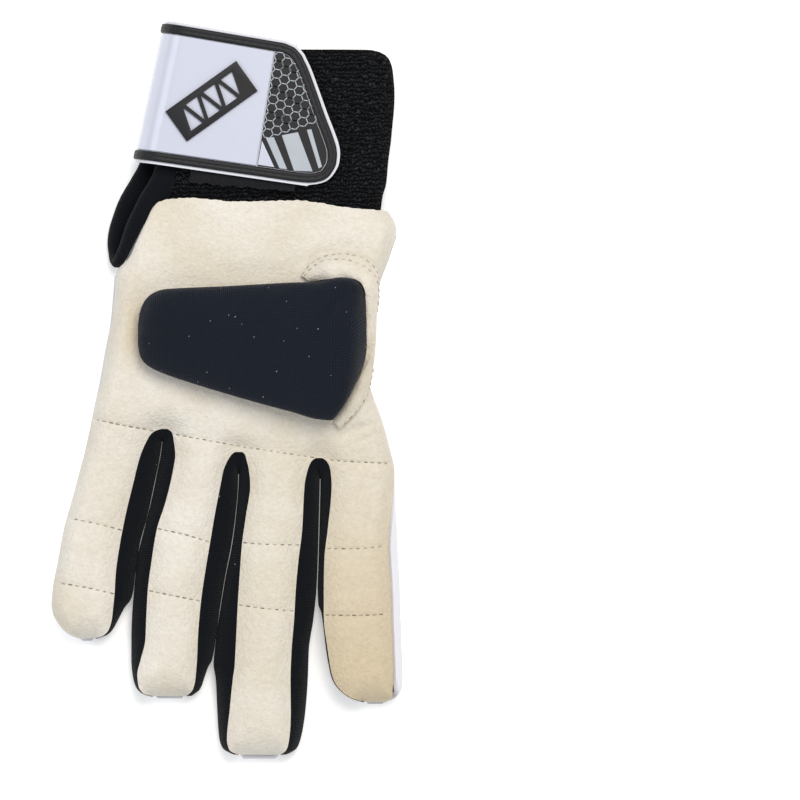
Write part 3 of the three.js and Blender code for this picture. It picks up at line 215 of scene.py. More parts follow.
def close_material(
    material: bpy.types.Material,
    settings: dict[str, object],
    colour: Source | None = None,
    relief: Source | None = None,
    depth_mm: float = 0.1,
    roughness: Source | None = None,
) -> bpy.types.Material:
    """Joins a material's colour and relief to its shader.

    Args:
        material: The material to close.
        settings: Values on the shader's own sockets.
        colour: Socket that feeds the base colour.
        relief: Socket that feeds the bump's height.
        depth_mm: Height of the relief in millimetres.
        roughness: Socket that feeds the roughness.

    Returns:
        The same material.
    """
    links: dict[str | int, Source] = {}
    if colour is not None:
        links["Base Color"] = colour
    if roughness is not None:
        links["Roughness"] = roughness
    if relief is not None:
        bump = add_node(material, "Bump", {"Strength": 1.0, "Distance": depth_mm * MM}, {"Height": relief})
        links["Normal"] = bump
    shader = add_node(material, "BsdfPrincipled", settings, links)
    add_node(material, "OutputMaterial", None, {"Surface": shader})
    return material


def per_mm(size_mm: float) -> float:
    """Scale of a pattern in metre coordinates whose features are that many millimetres apart."""
    return 1.0 / (size_mm * MM)


@dataclass(frozen=True)
class Chamois:
    """Chamois leather, tanned soft and buffed: a cream skin with a pebbled nap and no gloss."""

    name: str = "chamois_leather_buffed"
    pale: str = "d9d4ca"
    warm: str = "d0c8b8"
    tan: str = "c3b292"
    pore_mm: float = 1.05
    nap_mm: float = 0.32
    warp_mm: float = 1.1

    def build(self) -> bpy.types.Material:
        """Makes the material; the index finger and the thumb's surround are a little more tanned."""
        m, place = start_material(self.name)
        cloud = add_node(m, "TexNoise", {"Scale": per_mm(26), "Detail": 3.0}, {"Vector": place})
        mottle = add_node(m, "TexNoise", {"Scale": per_mm(1.6), "Detail": 2.0}, {"Vector": place})
        drift = add_node(
            m, "MapRange", {"From Min": 0.35, "From Max": 0.65}, {"Value": cloud}
        )
        tone = add_node(
            m, "Mix", {"data_type": "RGBA", 6: linear(self.pale), 7: linear(self.warm)},
            {0: drift}
        )
        worn = add_node(m, "Attribute", {"attribute_name": "tan"})
        tanned = add_node(
            m, "Mix", {"data_type": "RGBA", 7: linear(self.tan)},
            {0: worn.outputs["Fac"], 6: tone.outputs[2]}
        )
        shade = add_node(
            m, "MapRange", {"From Min": 0.25, "From Max": 0.75, "To Min": 0.93, "To Max": 1.04},
            {"Value": mottle}
        )
        colour = add_node(
            m, "VectorMath", {"operation": "SCALE"},
            {0: tanned.outputs[2], "Scale": shade}
        )
        warp = add_node(m, "TexNoise", {"Scale": per_mm(3.0), "Detail": 1.0}, {"Vector": place})
        bent = add_node(
            m, "VectorMath", {"operation": "MULTIPLY_ADD", 1: (self.warp_mm * MM,) * 3},
            {0: warp.outputs["Color"], 2: place}
        )
        pores = add_node(
            m, "TexVoronoi", {"feature": "SMOOTH_F1", "Scale": per_mm(self.pore_mm), "Smoothness": 0.6},
            {"Vector": bent}
        )
        nap = add_node(m, "TexNoise", {"Scale": per_mm(self.nap_mm), "Detail": 2.0}, {"Vector": place})
        relief = add_node(
            m, "Math", {"operation": "MULTIPLY_ADD", 1: 0.35},
            {0: nap, 2: pores}
        )
        settings = {
            "Roughness": 0.9, "IOR": 1.45, "Specular IOR Level": 0.25, "Sheen Weight": 0.15,
            "Sheen Roughness": 0.6
        }
        return close_material(m, settings, colour, relief, 0.27)


@dataclass(frozen=True)
class CoatedCloth:
    """Polyester back cloth with a white coating: a cool white with a fine flat weave."""

    name: str = "polyester_cloth_coated"
    pale: str = "e4e4ea"
    dull: str = "d6d7de"
    thread_mm: float = 0.5

    def build(self) -> bpy.types.Material:
        """Makes the material; the weave is two sets of thread ridges."""
        m, place = start_material(self.name)
        cloud = add_node(m, "TexNoise", {"Scale": per_mm(18), "Detail": 3.0}, {"Vector": place})
        tone = add_node(
            m, "Mix", {"data_type": "RGBA", 6: linear(self.pale), 7: linear(self.dull)},
            {0: cloud}
        )
        ridges = []
        for direction in ("X", "Y"):
            ridges.append(
                add_node(
                    m,
                    "TexWave",
                    {
                        "bands_direction": direction,
                        "Scale": per_mm(self.thread_mm) / 20,
                        "Distortion": 0.4,
                        "Detail": 1.0,
                    },
                    {"Vector": place},
                )
            )
        relief = add_node(
            m, "Math", {"operation": "MAXIMUM"}, {0: ridges[0].outputs["Fac"], 1: ridges[1].outputs["Fac"]}
        )
        settings = {"Roughness": 0.62, "IOR": 1.5, "Sheen Weight": 0.1}
        return close_material(m, settings, tone.outputs[2], relief, 0.05)


@dataclass(frozen=True)
class KnitCloth:
    """Knitted yarn: wales run along it, each course is a row of slanting loops, and lint may cling; its
    colour goes from painted shade in the hollows between loops to a painted highlight on their crowns.
    """

    name: str
    # dark is the painted shade in the hollows between loops, light the painted highlight on the loops'
    # crowns.
    dark: str
    light: str
    wale_mm: float
    course_mm: float
    depth_mm: float
    lint: float = 0.0
    sheen: float = 0.25
    stray: float = 0.9
    low: float = 0.25
    slant: float = 2.4
    fibre_mm: float = 1.5
    fibre_reach: float = 0.065
    fibre_colour: str = "a9abae"

    def build(self) -> bpy.types.Material:
        """Makes the material; its pattern follows the cloth's own lie, kept on the mesh in metres."""
        m, place = start_material(self.name)
        lie = add_node(m, "Attribute", {"attribute_name": "lie"}).outputs["Vector"]
        jitter = add_node(m, "TexNoise", {"Scale": per_mm(2.4), "Detail": 1.0}, {"Vector": place})
        moved = add_node(
            m, "VectorMath", {"operation": "MULTIPLY_ADD", 1: (self.wale_mm * MM * self.stray,) * 3},
            {0: jitter.outputs["Color"], 2: lie}
        )
        parts = add_node(m, "SeparateXYZ", None, {0: moved})
        across = add_node(
            m, "Math", {"operation": "MULTIPLY", 1: math.pi * per_mm(self.wale_mm)}, {0: parts.outputs["X"]}
        )
        rib_wave = add_node(m, "Math", {"operation": "SINE"}, {0: across})
        rib = add_node(m, "Math", {"operation": "ABSOLUTE"}, {0: rib_wave})
        lean = add_node(m, "Math", {"operation": "MULTIPLY", 1: self.slant}, {0: rib})
        along = add_node(
            m, "Math", {"operation": "MULTIPLY_ADD", 1: 2 * math.pi * per_mm(self.course_mm)},
            {0: parts.outputs["Y"], 2: lean}
        )
        loop_wave = add_node(m, "Math", {"operation": "SINE"}, {0: along})
        loop = add_node(
            m, "MapRange", {"From Min": -1.0, "From Max": 1.0, "To Min": self.low, "To Max": 1.0},
            {"Value": loop_wave}
        )
        height = add_node(
            m, "Math", {"operation": "MULTIPLY"}, {0: rib, 1: loop}
        )
        fuzz = add_node(m, "TexNoise", {"Scale": per_mm(0.25), "Detail": 2.0}, {"Vector": place})
        fuzzed = add_node(
            m, "Math", {"operation": "MULTIPLY_ADD", 1: 0.25},
            {0: fuzz, 2: height}
        )
        # Painted light: the colour follows the loop height, with painted shade in the hollows and a painted
        # highlight on the crowns.
        tone = add_node(
            m, "Mix", {"data_type": "RGBA", 6: linear(self.dark), 7: linear(self.light)},
            {0: fuzzed}
        )
        colour = tone.outputs[2]
        if self.lint:
            drawn = add_node(
                m, "Mapping", {"vector_type": "TEXTURE", "Rotation": (0, 0, 0.9), "Scale": (3.5, 1.0, 2.0)},
                {"Vector": place}
            )
            specks = add_node(
                m, "TexVoronoi", {"Scale": per_mm(self.fibre_mm), "Randomness": 1.0},
                {"Vector": drawn}
            )
            near = add_node(
                m, "Math", {"operation": "LESS_THAN", 1: self.fibre_reach}, {0: specks}
            )
            pick = add_node(m, "SeparateColor", None, {0: specks.outputs["Color"]})
            rare = add_node(m, "Math", {"operation": "LESS_THAN", 1: self.lint}, {0: pick.outputs["Red"]})
            both = add_node(
                m, "Math", {"operation": "MULTIPLY"}, {0: near, 1: rare}
            )
            dusty = add_node(
                m, "Mix", {"data_type": "RGBA", 7: linear(self.fibre_colour)}, {0: both, 6: colour}
            )
            colour = dusty.outputs[2]
        settings = {
            "Roughness": 0.95, "IOR": 1.5, "Specular IOR Level": 0.12, "Sheen Weight": self.sheen,
            "Sheen Roughness": 0.45
        }
        return close_material(m, settings, colour, fuzzed, self.depth_mm)


@dataclass(frozen=True)
class MouldedVinyl:
    """Vinyl or rubber sheet, pressed smooth: an even colour whose gloss is broken by faint scuffs."""

    name: str
    base: str
    scuffed: str
    roughness: float
    grain_mm: float = 0.6
    depth_mm: float = 0.02
    coat: float = 0.0
    gleam: float = 0.5

    def build(self) -> bpy.types.Material:
        """Makes the material."""
        m, place = start_material(self.name)
        scuff = add_node(m, "TexNoise", {"Scale": per_mm(7), "Detail": 5.0}, {"Vector": place})
        grain = add_node(m, "TexNoise", {"Scale": per_mm(self.grain_mm), "Detail": 2.0}, {"Vector": place})
        tone = add_node(
            m, "Mix", {"data_type": "RGBA", 6: linear(self.base), 7: linear(self.scuffed)},
            {0: scuff}
        )
        rough = add_node(
            m, "MapRange", {"To Min": self.roughness - 0.06, "To Max": self.roughness + 0.08},
            {"Value": scuff}
        )
        settings = {
            "IOR": 1.5, "Specular IOR Level": self.gleam, "Coat Weight": self.coat, "Coat Roughness": 0.12
        }
        return close_material(
            m, settings, tone.outputs[2], grain, self.depth_mm, rough
        )


@dataclass(frozen=True)
class LoopPile:
    """Brushed nylon loop tape: a matt black fuzz that takes almost no light."""

    name: str = "nylon_loop_brushed"
    dark: str = "030304"
    light: str = "26272a"

    def build(self) -> bpy.types.Material:
        """Makes the material."""
        m, place = start_material(self.name)
        pile = add_node(m, "TexNoise", {"Scale": per_mm(0.5), "Detail": 4.0}, {"Vector": place})
        tone = add_node(
            m, "Mix", {"data_type": "RGBA", 6: linear(self.dark), 7: linear(self.light)},
            {0: pile}
        )
        settings = {"Roughness": 0.95, "Specular IOR Level": 0.15, "Sheen Weight": 0.05}
        return close_material(m, settings, tone.outputs[2], pile, 0.25)


@dataclass(frozen=True)
class SewingThread:
    """Spun polyester thread, twisted: a matt line with a fine slanting twist."""

    name: str
    base: str
    shade: str

    def build(self) -> bpy.types.Material:
        """Makes the material."""
        m, place = start_material(self.name)
        twist = add_node(
            m, "TexWave", {"bands_direction": "DIAGONAL", "Scale": per_mm(0.4) / 20, "Distortion": 1.0},
            {"Vector": place}
        )
        tone = add_node(
            m, "Mix", {"data_type": "RGBA", 6: linear(self.shade), 7: linear(self.base)},
            {0: twist.outputs["Fac"]}
        )
        settings = {"Roughness": 0.75, "IOR": 1.5, "Sheen Weight": 0.1}
        return close_material(m, settings, tone.outputs[2], twist.outputs["Fac"], 0.05)


@dataclass(frozen=True)
class StudioPaper:
    """Matt paper sweep: a plain pale ground that only shows soft shadows."""

    name: str = "paper_sweep_matt"
    base: str = "f6f6f5"
    shade: str = "f1f1f0"
    glow: float = 0.28

    def build(self) -> bpy.types.Material:
        """Makes the material."""
        m, place = start_material(self.name)
        fibre = add_node(m, "TexNoise", {"Scale": per_mm(60), "Detail": 2.0}, {"Vector": place})
        tone = add_node(
            m, "Mix", {"data_type": "RGBA", 6: linear(self.base), 7: linear(self.shade)},
            {0: fibre}
        )
        settings = {
            "Roughness": 0.95, "Specular IOR Level": 0.1, "Emission Color": linear(self.base),
            "Emission Strength": self.glow
        }
        return close_material(m, settings, tone.outputs[2])


class Finish(Enum):
    """The finishes of the glove, each with what makes it."""

    CHAMOIS = Chamois()
    BACK = CoatedCloth()
    # In the knits below, the first colour is painted shade in the hollows and the second a painted
    # highlight on the loops' crowns.
    JERSEY = KnitCloth("cotton_jersey_knitted", "05070a", "11151b", 0.75, 0.9, 0.2, 0.05, 0.05)
    THUMB = KnitCloth("cotton_jersey_thumb_knitted", "0a0e15", "1d232e", 0.6, 0.75, 0.2, 0.4, 0.1)
    RIB = KnitCloth("acrylic_rib_knitted", "010102", "2a2c30", 1.4, 1.6, 0.6, 0.0, 0.0, 2.6, -0.6)
    VINYL = MouldedVinyl("pvc_strap_calendered", "d4d6de", "cccfd8", 0.33)
    GLOSS = MouldedVinyl("pvc_field_polished", "c1c5d3", "b8bccb", 0.2, 2.5, 0.02, 0.5)
    TRIM = MouldedVinyl("tpu_trim_moulded", "121316", "1c1d21", 0.5, 0.5, 0.04, 0.0, 0.25)
    GREY = MouldedVinyl("tpu_print_grey", "a8afb6", "989fa6", 0.45, 0.5, 0.03)
    PILE = LoopPile()
    # The quilting thread is cream; its colours are darkened as painted shade of the sunken stitch holes and
    # creases.
    THREAD_CREAM_SHADED = SewingThread("polyester_thread_cream_shaded", "aaa08c", "6f6757")
    THREAD_RIM = SewingThread("polyester_thread_pale", "c6bca8", "938976")
    THREAD_DARK = SewingThread("polyester_thread_black", "0c0d0f", "040405")
    PAPER = StudioPaper()


_made: dict[Finish, bpy.types.Material] = {}


def finish_of(finish: Finish) -> bpy.types.Material:
    """Gives the finish's one material, made the first time it is asked for."""
    if finish not in _made:
        _made[finish] = finish.value.build()
    return _made[finish]


# Meshes


@dataclass
class Mesh:
    """Points and faces in millimetres, with the lie of the cloth at each face's corners."""

    points: Array
    faces: list[Array]
    lie: Array | None = None
    tan: Array | None = None

    def joined(self, other: "Mesh") -> "Mesh":
        """Gives this mesh and another as one, without their lie."""
        start = len(self.points)
        return Mesh(
            np.vstack([self.points, other.points]), [*self.faces, *(f + start for f in other.faces)]
        )


def make_piece(
    name: str,
    mesh: Mesh,
    finish: Finish,
    nodes: Sequence[str] = (),
    sharp_deg: float = 50,
) -> bpy.types.Object:
    """Makes a scene object from a mesh, dresses it and hangs it on the frame.

    Args:
        name: The object's name.
        mesh: Its shape in millimetres.
        finish: Its finish.
        nodes: The solids that it replaces.
        sharp_deg: Edges that turn by more than this stay sharp.

    Returns:
        The new object.
    """
    shift = np.array([ORIGIN_SHIFT[0], ORIGIN_SHIFT[1], 0.0])
    points = (np.asarray(mesh.points, float) + shift) * MM
    data = bpy.data.meshes.new(name)
    sizes = np.array([len(f) for f in mesh.faces], dtype=np.int32)
    loops = np.concatenate(mesh.faces).astype(np.int32)
    data.vertices.add(len(points))
    data.vertices.foreach_set("co", points.astype(np.float32).ravel())
    data.loops.add(len(loops))
    data.loops.foreach_set("vertex_index", loops)
    data.polygons.add(len(sizes))
    starts = np.concatenate([[0], np.cumsum(sizes)[:-1]]).astype(np.int32)
    data.polygons.foreach_set("loop_start", starts)
    data.polygons.foreach_set("use_smooth", np.ones(len(sizes), dtype=bool))
    if mesh.lie is not None:
        layer = data.attributes.new("lie", "FLOAT_VECTOR", "CORNER")
        layer.data.foreach_set("vector", (mesh.lie * MM).astype(np.float32).ravel())
    if mesh.tan is not None:
        layer = data.attributes.new("tan", "FLOAT", "POINT")
        layer.data.foreach_set("value", mesh.tan.astype(np.float32))
    data.update(calc_edges=True)
    data.validate()
    data.set_sharp_from_angle(angle=math.radians(sharp_deg))
    data.materials.append(finish_of(finish))
    piece = bpy.data.objects.new(name, data)
    bpy.context.scene.collection.objects.link(piece)
    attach(piece, "root")
    if nodes:
        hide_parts(*nodes)
    log.info("%s: %d points, %d faces", name, len(points), len(sizes))
    return piece


def soften(piece: bpy.types.Object, width_mm: float, segments: int = 2) -> None:
    """Rounds a piece's sharp edges.

    Args:
        piece: The object to round.
        width_mm: Width of the rounding.
        segments: Faces across the rounding.
    """
    bevel = piece.modifiers.new("edge_round", "BEVEL")
    bevel.width = width_mm * MM
    bevel.segments = segments
    bevel.limit_method = "ANGLE"
    bevel.angle_limit = math.radians(40)
    bevel.use_clamp_overlap = True


class Shell:
    """A skin of quads with a wall built inwards along its normals."""

    def __init__(self, wall: float, up: bool = True) -> None:
        """Starts an empty skin.

        Args:
            wall: Thickness of the wall.
            up: Whether rows that run left to right, one below the other, face up.
        """
        self.wall = wall
        self.up = up
        self.blocks: list[Array] = []
        self.fixed: list[Array] = []
        self.lies: list[Array] = []
        self.quads: list[Array] = []
        self.count = 0

    def row(self, points: Array, normals: Array | None = None, lie: Array | None = None) -> Array:
        """Adds a row of points.

        Args:
            points: The points, n by 3.
            normals: Normals that hold there, n by 3, with nan where the skin gives its own.
            lie: The cloth's own coordinates there, n by 2.

        Returns:
            The new points' numbers.
        """
        n = len(points)
        self.blocks.append(np.asarray(points, float))
        self.fixed.append(np.full((n, 3), np.nan) if normals is None else normals)
        self.lies.append(np.zeros((n, 2)) if lie is None else lie)
        self.count += n
        return np.arange(self.count - n, self.count)

    def strip(self, a: Array, b: Array) -> None:
        """Fills between two rows of as many points."""
        quads = np.stack([a[:-1], b[:-1], b[1:], a[1:]], axis=1)
        self.quads.append(quads if self.up else quads[:, ::-1])

    def follow(
        self, last: Array | None, points: Array, normals: Array | None = None, lie: Array | None = None
    ) -> Array:
        """Adds a row, filled in to the last one if there is one, and gives its points' numbers."""
        ids = self.row(points, normals, lie)
        if last is not None:
            self.strip(last, ids)
        return ids

    def normals(self, points: Array, quads: Array) -> Array:
        """Gives each point's normal."""
        a, b, c, d = (points[quads[:, k]] for k in range(4))
        cross = np.cross(c - a, d - b)
        total = np.zeros_like(points)
        for k in range(4):
            np.add.at(total, quads[:, k], cross)
        fixed = np.vstack(self.fixed)
        total = np.where(np.isnan(fixed), total, fixed)
        return total / np.maximum(np.linalg.norm(total, axis=1, keepdims=True), 1e-12)

    def mesh(self, keep: Callable[[Array], Array] | None = None) -> Mesh:
        """Closes the skin into a wall.

        Args:
            keep: Says from the quads' middles which of them stay.

        Returns:
            The closed mesh.
        """
        points = np.vstack(self.blocks)
        quads = np.vstack(self.quads)
        normal = self.normals(points, quads)
        if keep is not None:
            quads = quads[keep(points[quads].mean(axis=1))]
        n = len(points)
        inner = points - normal * self.wall
        edges = np.vstack([quads[:, [k, (k + 1) % 4]] for k in range(4)])
        code = edges[:, 0] * n + edges[:, 1]
        back = edges[:, 1] * n + edges[:, 0]
        rim = edges[~np.isin(code, back)]
        walls = np.stack([rim[:, 1], rim[:, 0], rim[:, 0] + n, rim[:, 1] + n], axis=1)
        faces = np.vstack([quads, quads[:, ::-1] + n, walls])
        both = np.vstack([points, inner])
        used = np.unique(faces)
        place = np.full(2 * n, -1)
        place[used] = np.arange(len(used))
        lie = np.vstack(self.lies + self.lies)
        lie3 = np.hstack([lie, np.zeros((len(lie), 1))])
        corner = lie3[faces].reshape(-1, 3)
        return Mesh(both[used], list(place[faces]), corner)


def slab(top: Array, base: Array) -> Mesh:
    """Closes the space between two grids of points.

    Args:
        top: Upper grid, rows by columns by 3, whose quads face out.
        base: Lower grid of the same size.

    Returns:
        The closed mesh.
    """
    rows, columns = top.shape[:2]
    n = rows * columns
    ids = np.arange(n).reshape(rows, columns)
    a, b = ids[:-1, :-1].ravel(), ids[1:, :-1].ravel()
    c, d = ids[1:, 1:].ravel(), ids[:-1, 1:].ravel()
    quads = np.stack([a, b, c, d], axis=1)
    loop = np.concatenate([ids[0, :-1], ids[:-1, -1], ids[-1, :0:-1], ids[:0:-1, 0]])
    after = np.roll(loop, -1)
    walls = np.stack([loop, after, after + n, loop + n], axis=1)
    points = np.vstack([top.reshape(-1, 3), base.reshape(-1, 3)])
    return Mesh(points, [*quads, *(quads[:, ::-1] + n), *walls])


def tube(outer: Array, inner: Array | None, closed_start: bool, turned: bool) -> Mesh:
    """Closes rings into a tube, with a wall where inner rings are given.

    Args:
        outer: Outer rings, rows by points by 3.
        inner: Inner rings of the same size, or None for a solid tube.
        closed_start: Whether the first end is capped.
        turned: Whether the rings run the other way round.

    Returns:
        The closed mesh with the lie of its cloth.
    """
    faces: list[Array] = []
    lies: list[Array] = []
    blocks: list[Array] = []
    start = 0

    def skin(rings: Array, flip: bool) -> Array:
        """Adds one skin of rings and gives its points' numbers."""
        nonlocal start
        rows, n = rings.shape[:2]
        ids = start + np.arange(rows * n).reshape(rows, n)
        start += rows * n
        blocks.append(rings.reshape(-1, 3))
        around = np.linalg.norm(np.roll(rings, -1, axis=1) - rings, axis=2)
        u = np.concatenate([np.zeros(1), np.cumsum(around.mean(axis=0))])
        steps = np.linalg.norm(np.diff(rings, axis=0), axis=2).mean(axis=1)
        v = np.concatenate([[0], np.cumsum(steps)])
        k = np.arange(n)
        for r in range(1, rows):
            nxt = (k + 1) % n
            quad = np.stack([ids[r - 1][k], ids[r - 1][nxt], ids[r][nxt], ids[r][k]], axis=1)
            lie = np.zeros((n, 4, 3))
            lie[:, 0, 0] = lie[:, 3, 0] = u[k]
            lie[:, 1, 0] = lie[:, 2, 0] = u[k + 1]
            lie[:, :2, 1] = v[r - 1]
            lie[:, 2:, 1] = v[r]
            if flip:
                quad, lie = quad[:, ::-1], lie[:, ::-1]
            faces.extend(quad)
            lies.append(lie.reshape(-1, 3))
        return ids

    def fan(ids: Array, flip: bool) -> None:
        """Caps a ring with triangles to its middle."""
        nonlocal start
        points = np.vstack(blocks)[ids]
        blocks.append(points.mean(axis=0)[None])
        for a, b in zip(ids, np.roll(ids, -1)):
            faces.append(np.array([start, a, b] if flip else [start, b, a]))
            lies.append(np.zeros((3, 3)))
        start += 1

    def lip(a: Array, b: Array, flip: bool) -> None:
        """Joins an outer ring to an inner one."""
        for i in range(len(a)):
            j = (i + 1) % len(a)
            quad = np.array([a[i], a[j], b[j], b[i]])
            faces.append(quad[::-1] if flip else quad)
            lies.append(np.zeros((4, 3)))

    o = skin(outer, turned)
    if inner is None:
        fan(o[0], turned)
        fan(o[-1], not turned)
    else:
        q = skin(inner, not turned)
        lip(o[-1], q[-1], turned)
        if closed_start:
            fan(o[0], turned)
            fan(q[0], not turned)
        else:
            lip(o[0], q[0], not turned)
    return Mesh(np.vstack(blocks), faces, np.vstack(lies))


def stitches(centres: Array, directions: Array, ups: Array, length: float, width: float) -> Mesh:
    """Makes a run of thread stitches that dip at both ends.

    Args:
        centres: Middle of each stitch, n by 3.
        directions: Which way each one runs, n by 3.
        ups: Outward direction at each one, n by 3.
        length: Length of a stitch.
        width: Thickness of the thread.

    Returns:
        All stitches as one mesh.
    """
    sides = 6
    stops = np.array([-0.5, -0.42, -0.2, 0.0, 0.2, 0.42, 0.5])
    girth = np.array([0.45, 0.85, 1.0, 1.0, 1.0, 0.85, 0.45]) * width / 2
    dip = -((2 * stops) ** 4) * width * 0.7
    blocks: list[Array] = []
    faces: list[Array] = []
    start = 0
    turn = np.arange(sides) / sides * 2 * math.pi
    for c, d, up in zip(centres, directions, ups):
        side = np.cross(d, up)
        side /= np.linalg.norm(side)
        rings = []
        for s, g, z in zip(stops, girth, dip):
            ring = c + d * s * length + up * z
            ring = ring + g * (np.cos(turn)[:, None] * side + np.sin(turn)[:, None] * up)
            rings.append(ring)
        points = np.vstack(rings)
        blocks.append(points)
        for r in range(1, len(stops)):
            for k in range(sides):
                j = (k + 1) % sides
                a, b = start + (r - 1) * sides + k, start + (r - 1) * sides + j
                faces.append(np.array([a, a + sides, b + sides, b]))
        faces.append(start + np.arange(sides))
        faces.append(start + len(points) - 1 - np.arange(sides))
        start += len(points)
    return Mesh(np.vstack(blocks), faces)


def spaced(line: Array, pitch: float) -> tuple[Array, Array]:
    """Spreads places along a line of points.

    Args:
        line: The line, n by m.
        pitch: Distance between places.

    Returns:
        The places, and the direction of the line at each.
    """
    gaps = np.linalg.norm(np.diff(line, axis=0), axis=1)
    along = np.concatenate([[0], np.cumsum(gaps)])
    count = max(1, int(along[-1] / pitch))
    at = (np.arange(count) + 0.5) * along[-1] / count
    places = curve_through(along, line, at)
    ahead = curve_through(along, line, at + 0.2) - curve_through(along, line, at - 0.2)
    return places, ahead / np.linalg.norm(ahead, axis=1, keepdims=True)


# The glove's outline


@dataclass(frozen=True)
class Table:
    """Sections by their place along the glove, with named columns."""

    columns: tuple[str, ...]
    rows: tuple[tuple[float, ...], ...]

    def at(self, y: Value, column: str) -> Array:
        """Reads one column at any place, with a smooth curve through the rows."""
        data = np.array(self.rows)
        order = np.argsort(data[:, 0])
        return curve_through(data[order, 0], data[order, self.columns.index(column)], y)

    @property
    def first(self) -> float:
        """Place of the first row."""
        return self.rows[0][0]

    @property
    def last(self) -> float:
        """Place of the last row."""
        return self.rows[-1][0]


# Where the slit ends, and where the leather beside it goes from rolled down to flat.
SLIT_END_Y = 42.1
FLAT_FROM_Y, FLAT_TO_Y = 44, 56
LEG = ("y", "edge", "side")
LITTLE_RIGHT = Table(
    LEG,
    (
        (-13.3, -23.6, -22.9), (-14.0, -25.7, -23.0), (-15.1, -27.2, -23.2), (-17.3, -28.6, -23.4),
        (-22.7, -31.0, -24.1), (-33.5, -33.8, -26.3), (-44.3, -36.4, -28.6), (-55.1, -38.5, -31.5),
        (-65.9, -40.0, -33.1), (-71.3, -40.3, -33.7), (-74.9, -40.6, -34.7), (-77.8, -40.9, -36.9),
        (-82.1, -41.4, -39.2), (-85.7, -42.5, -41.2), (-87.8, -44.5, -43.4), (-88.9, -47.3, -46.8)
    )
)
RING_LEFT = Table(
    LEG,
    (
        (-13.3, -21.4, -22.9), (-14.0, -20.2, -22.9), (-15.1, -19.5, -23.0), (-17.3, -19.1, -23.3),
        (-22.7, -18.5, -24.0), (-28.1, -19.3, -25.1), (-38.9, -21.8, -27.3), (-49.7, -25.2, -30.0),
        (-60.5, -27.0, -32.5), (-71.3, -28.4, -33.6), (-82.1, -29.0, -34.4), (-89.3, -29.3, -34.6),
        (-96.5, -31.0, -34.6), (-101.9, -32.2, -34.2), (-106.2, -31.7, -33.1), (-108.7, -29.9, -31.0),
        (-109.8, -26.8, -27.9)
    )
)
RING_RIGHT = Table(
    LEG,
    (
        (-21.6, 3.1, 4.5), (-22.3, 2.0, 4.4), (-23.8, 0.9, 4.3), (-28.1, -1.1, 4.1), (-33.5, -2.2, 4.0),
        (-44.3, -4.3, 3.1), (-55.1, -6.1, 1.6), (-65.9, -7.9, -0.5), (-76.7, -9.4, -2.3),
        (-87.5, -10.3, -3.8), (-96.8, -10.7, -5.4), (-99.4, -10.9, -6.8), (-103.7, -11.3, -8.3),
        (-107.3, -12.2, -9.7), (-109.8, -14.6, -12.8)
    )
)
MIDDLE_LEFT = Table(
    LEG,
    (
        (-21.6, 5.6, 4.5), (-22.3, 6.5, 4.5), (-23.8, 7.0, 4.5), (-28.1, 8.0, 4.3), (-33.5, 8.5, 4.1),
        (-44.3, 7.0, 3.2), (-55.1, 5.5, 1.8), (-65.9, 4.7, -0.4), (-76.7, 4.0, -2.2), (-92.9, 3.2, -4.5),
        (-98.3, 2.9, -4.9), (-103.7, 2.2, -4.1), (-114.5, 1.1, -3.6), (-125.3, 0.1, -2.8),
        (-128.9, 0.9, -1.4), (-131.0, 4.1, 2.3)
    )
)
MIDDLE_RIGHT = Table(
    LEG,
    (
        (-23.8, 32.2, 33.7), (-24.5, 31.0, 33.7), (-25.6, 30.2, 33.7), (-28.1, 29.2, 33.6),
        (-33.5, 28.1, 33.5), (-49.7, 27.2, 33.1), (-60.5, 25.9, 32.8), (-71.3, 24.9, 32.3),
        (-82.1, 24.3, 31.2), (-92.9, 23.4, 29.6), (-103.7, 23.0, 29.2), (-114.5, 23.1, 28.4),
        (-119.9, 23.0, 27.7), (-125.3, 22.5, 26.6), (-128.9, 21.6, 25.0), (-131.0, 19.3, 21.4)
    )
)
INDEX_LEFT = Table(
    LEG,
    (
        (-23.8, 34.4, 33.8), (-24.5, 35.6, 33.8), (-25.6, 36.5, 33.8), (-28.1, 37.4, 33.8),
        (-33.5, 37.8, 33.7), (-49.7, 36.4, 33.3), (-60.5, 35.2, 33.0), (-71.3, 35.0, 32.7),
        (-76.7, 35.0, 32.9), (-79.6, 35.0, 34.0), (-82.8, 35.1, 34.5), (-92.9, 36.4, 35.7),
        (-98.3, 37.2, 36.6), (-103.7, 38.5, 37.9), (-107.3, 40.9, 40.2), (-110.2, 44.8, 44.2),
        (-111.8, 49.5, 48.9)
    )
)
# Little-finger side of the leather: its edge across and that edge's height.
LEFT_EDGE = Table(
    ("y", "edge", "z"),
    (
        (68.0, -25.0, 17.4), (66.2, -26.6, 17.0), (62.6, -28.4, 16.7), (56.9, -31.1, 16.0),
        (52.2, -33.3, 15.0), (49.3, -34.6, 13.5), (46.8, -36.7, 10.5), (44.6, -39.2, 6.4),
        (42.1, -40.1, 4.2), (36.7, -40.6, 4.0), (25.9, -41.6, 4.0), (15.1, -43.6, 4.0), (4.3, -45.5, 4.0),
        (-6.5, -48.2, 4.0), (-17.3, -50.4, 4.0), (-28.1, -53.1, 4.0), (-38.9, -56.0, 4.0),
        (-49.7, -59.0, 4.0), (-60.5, -61.0, 4.0), (-71.3, -63.0, 4.0), (-76.7, -63.4, 4.0),
        (-80.3, -62.8, 4.1), (-83.9, -60.8, 4.4), (-86.4, -58.7, 4.8), (-88.2, -56.0, 5.1),
        (-89.1, -53.1, 5.2)
    )
)
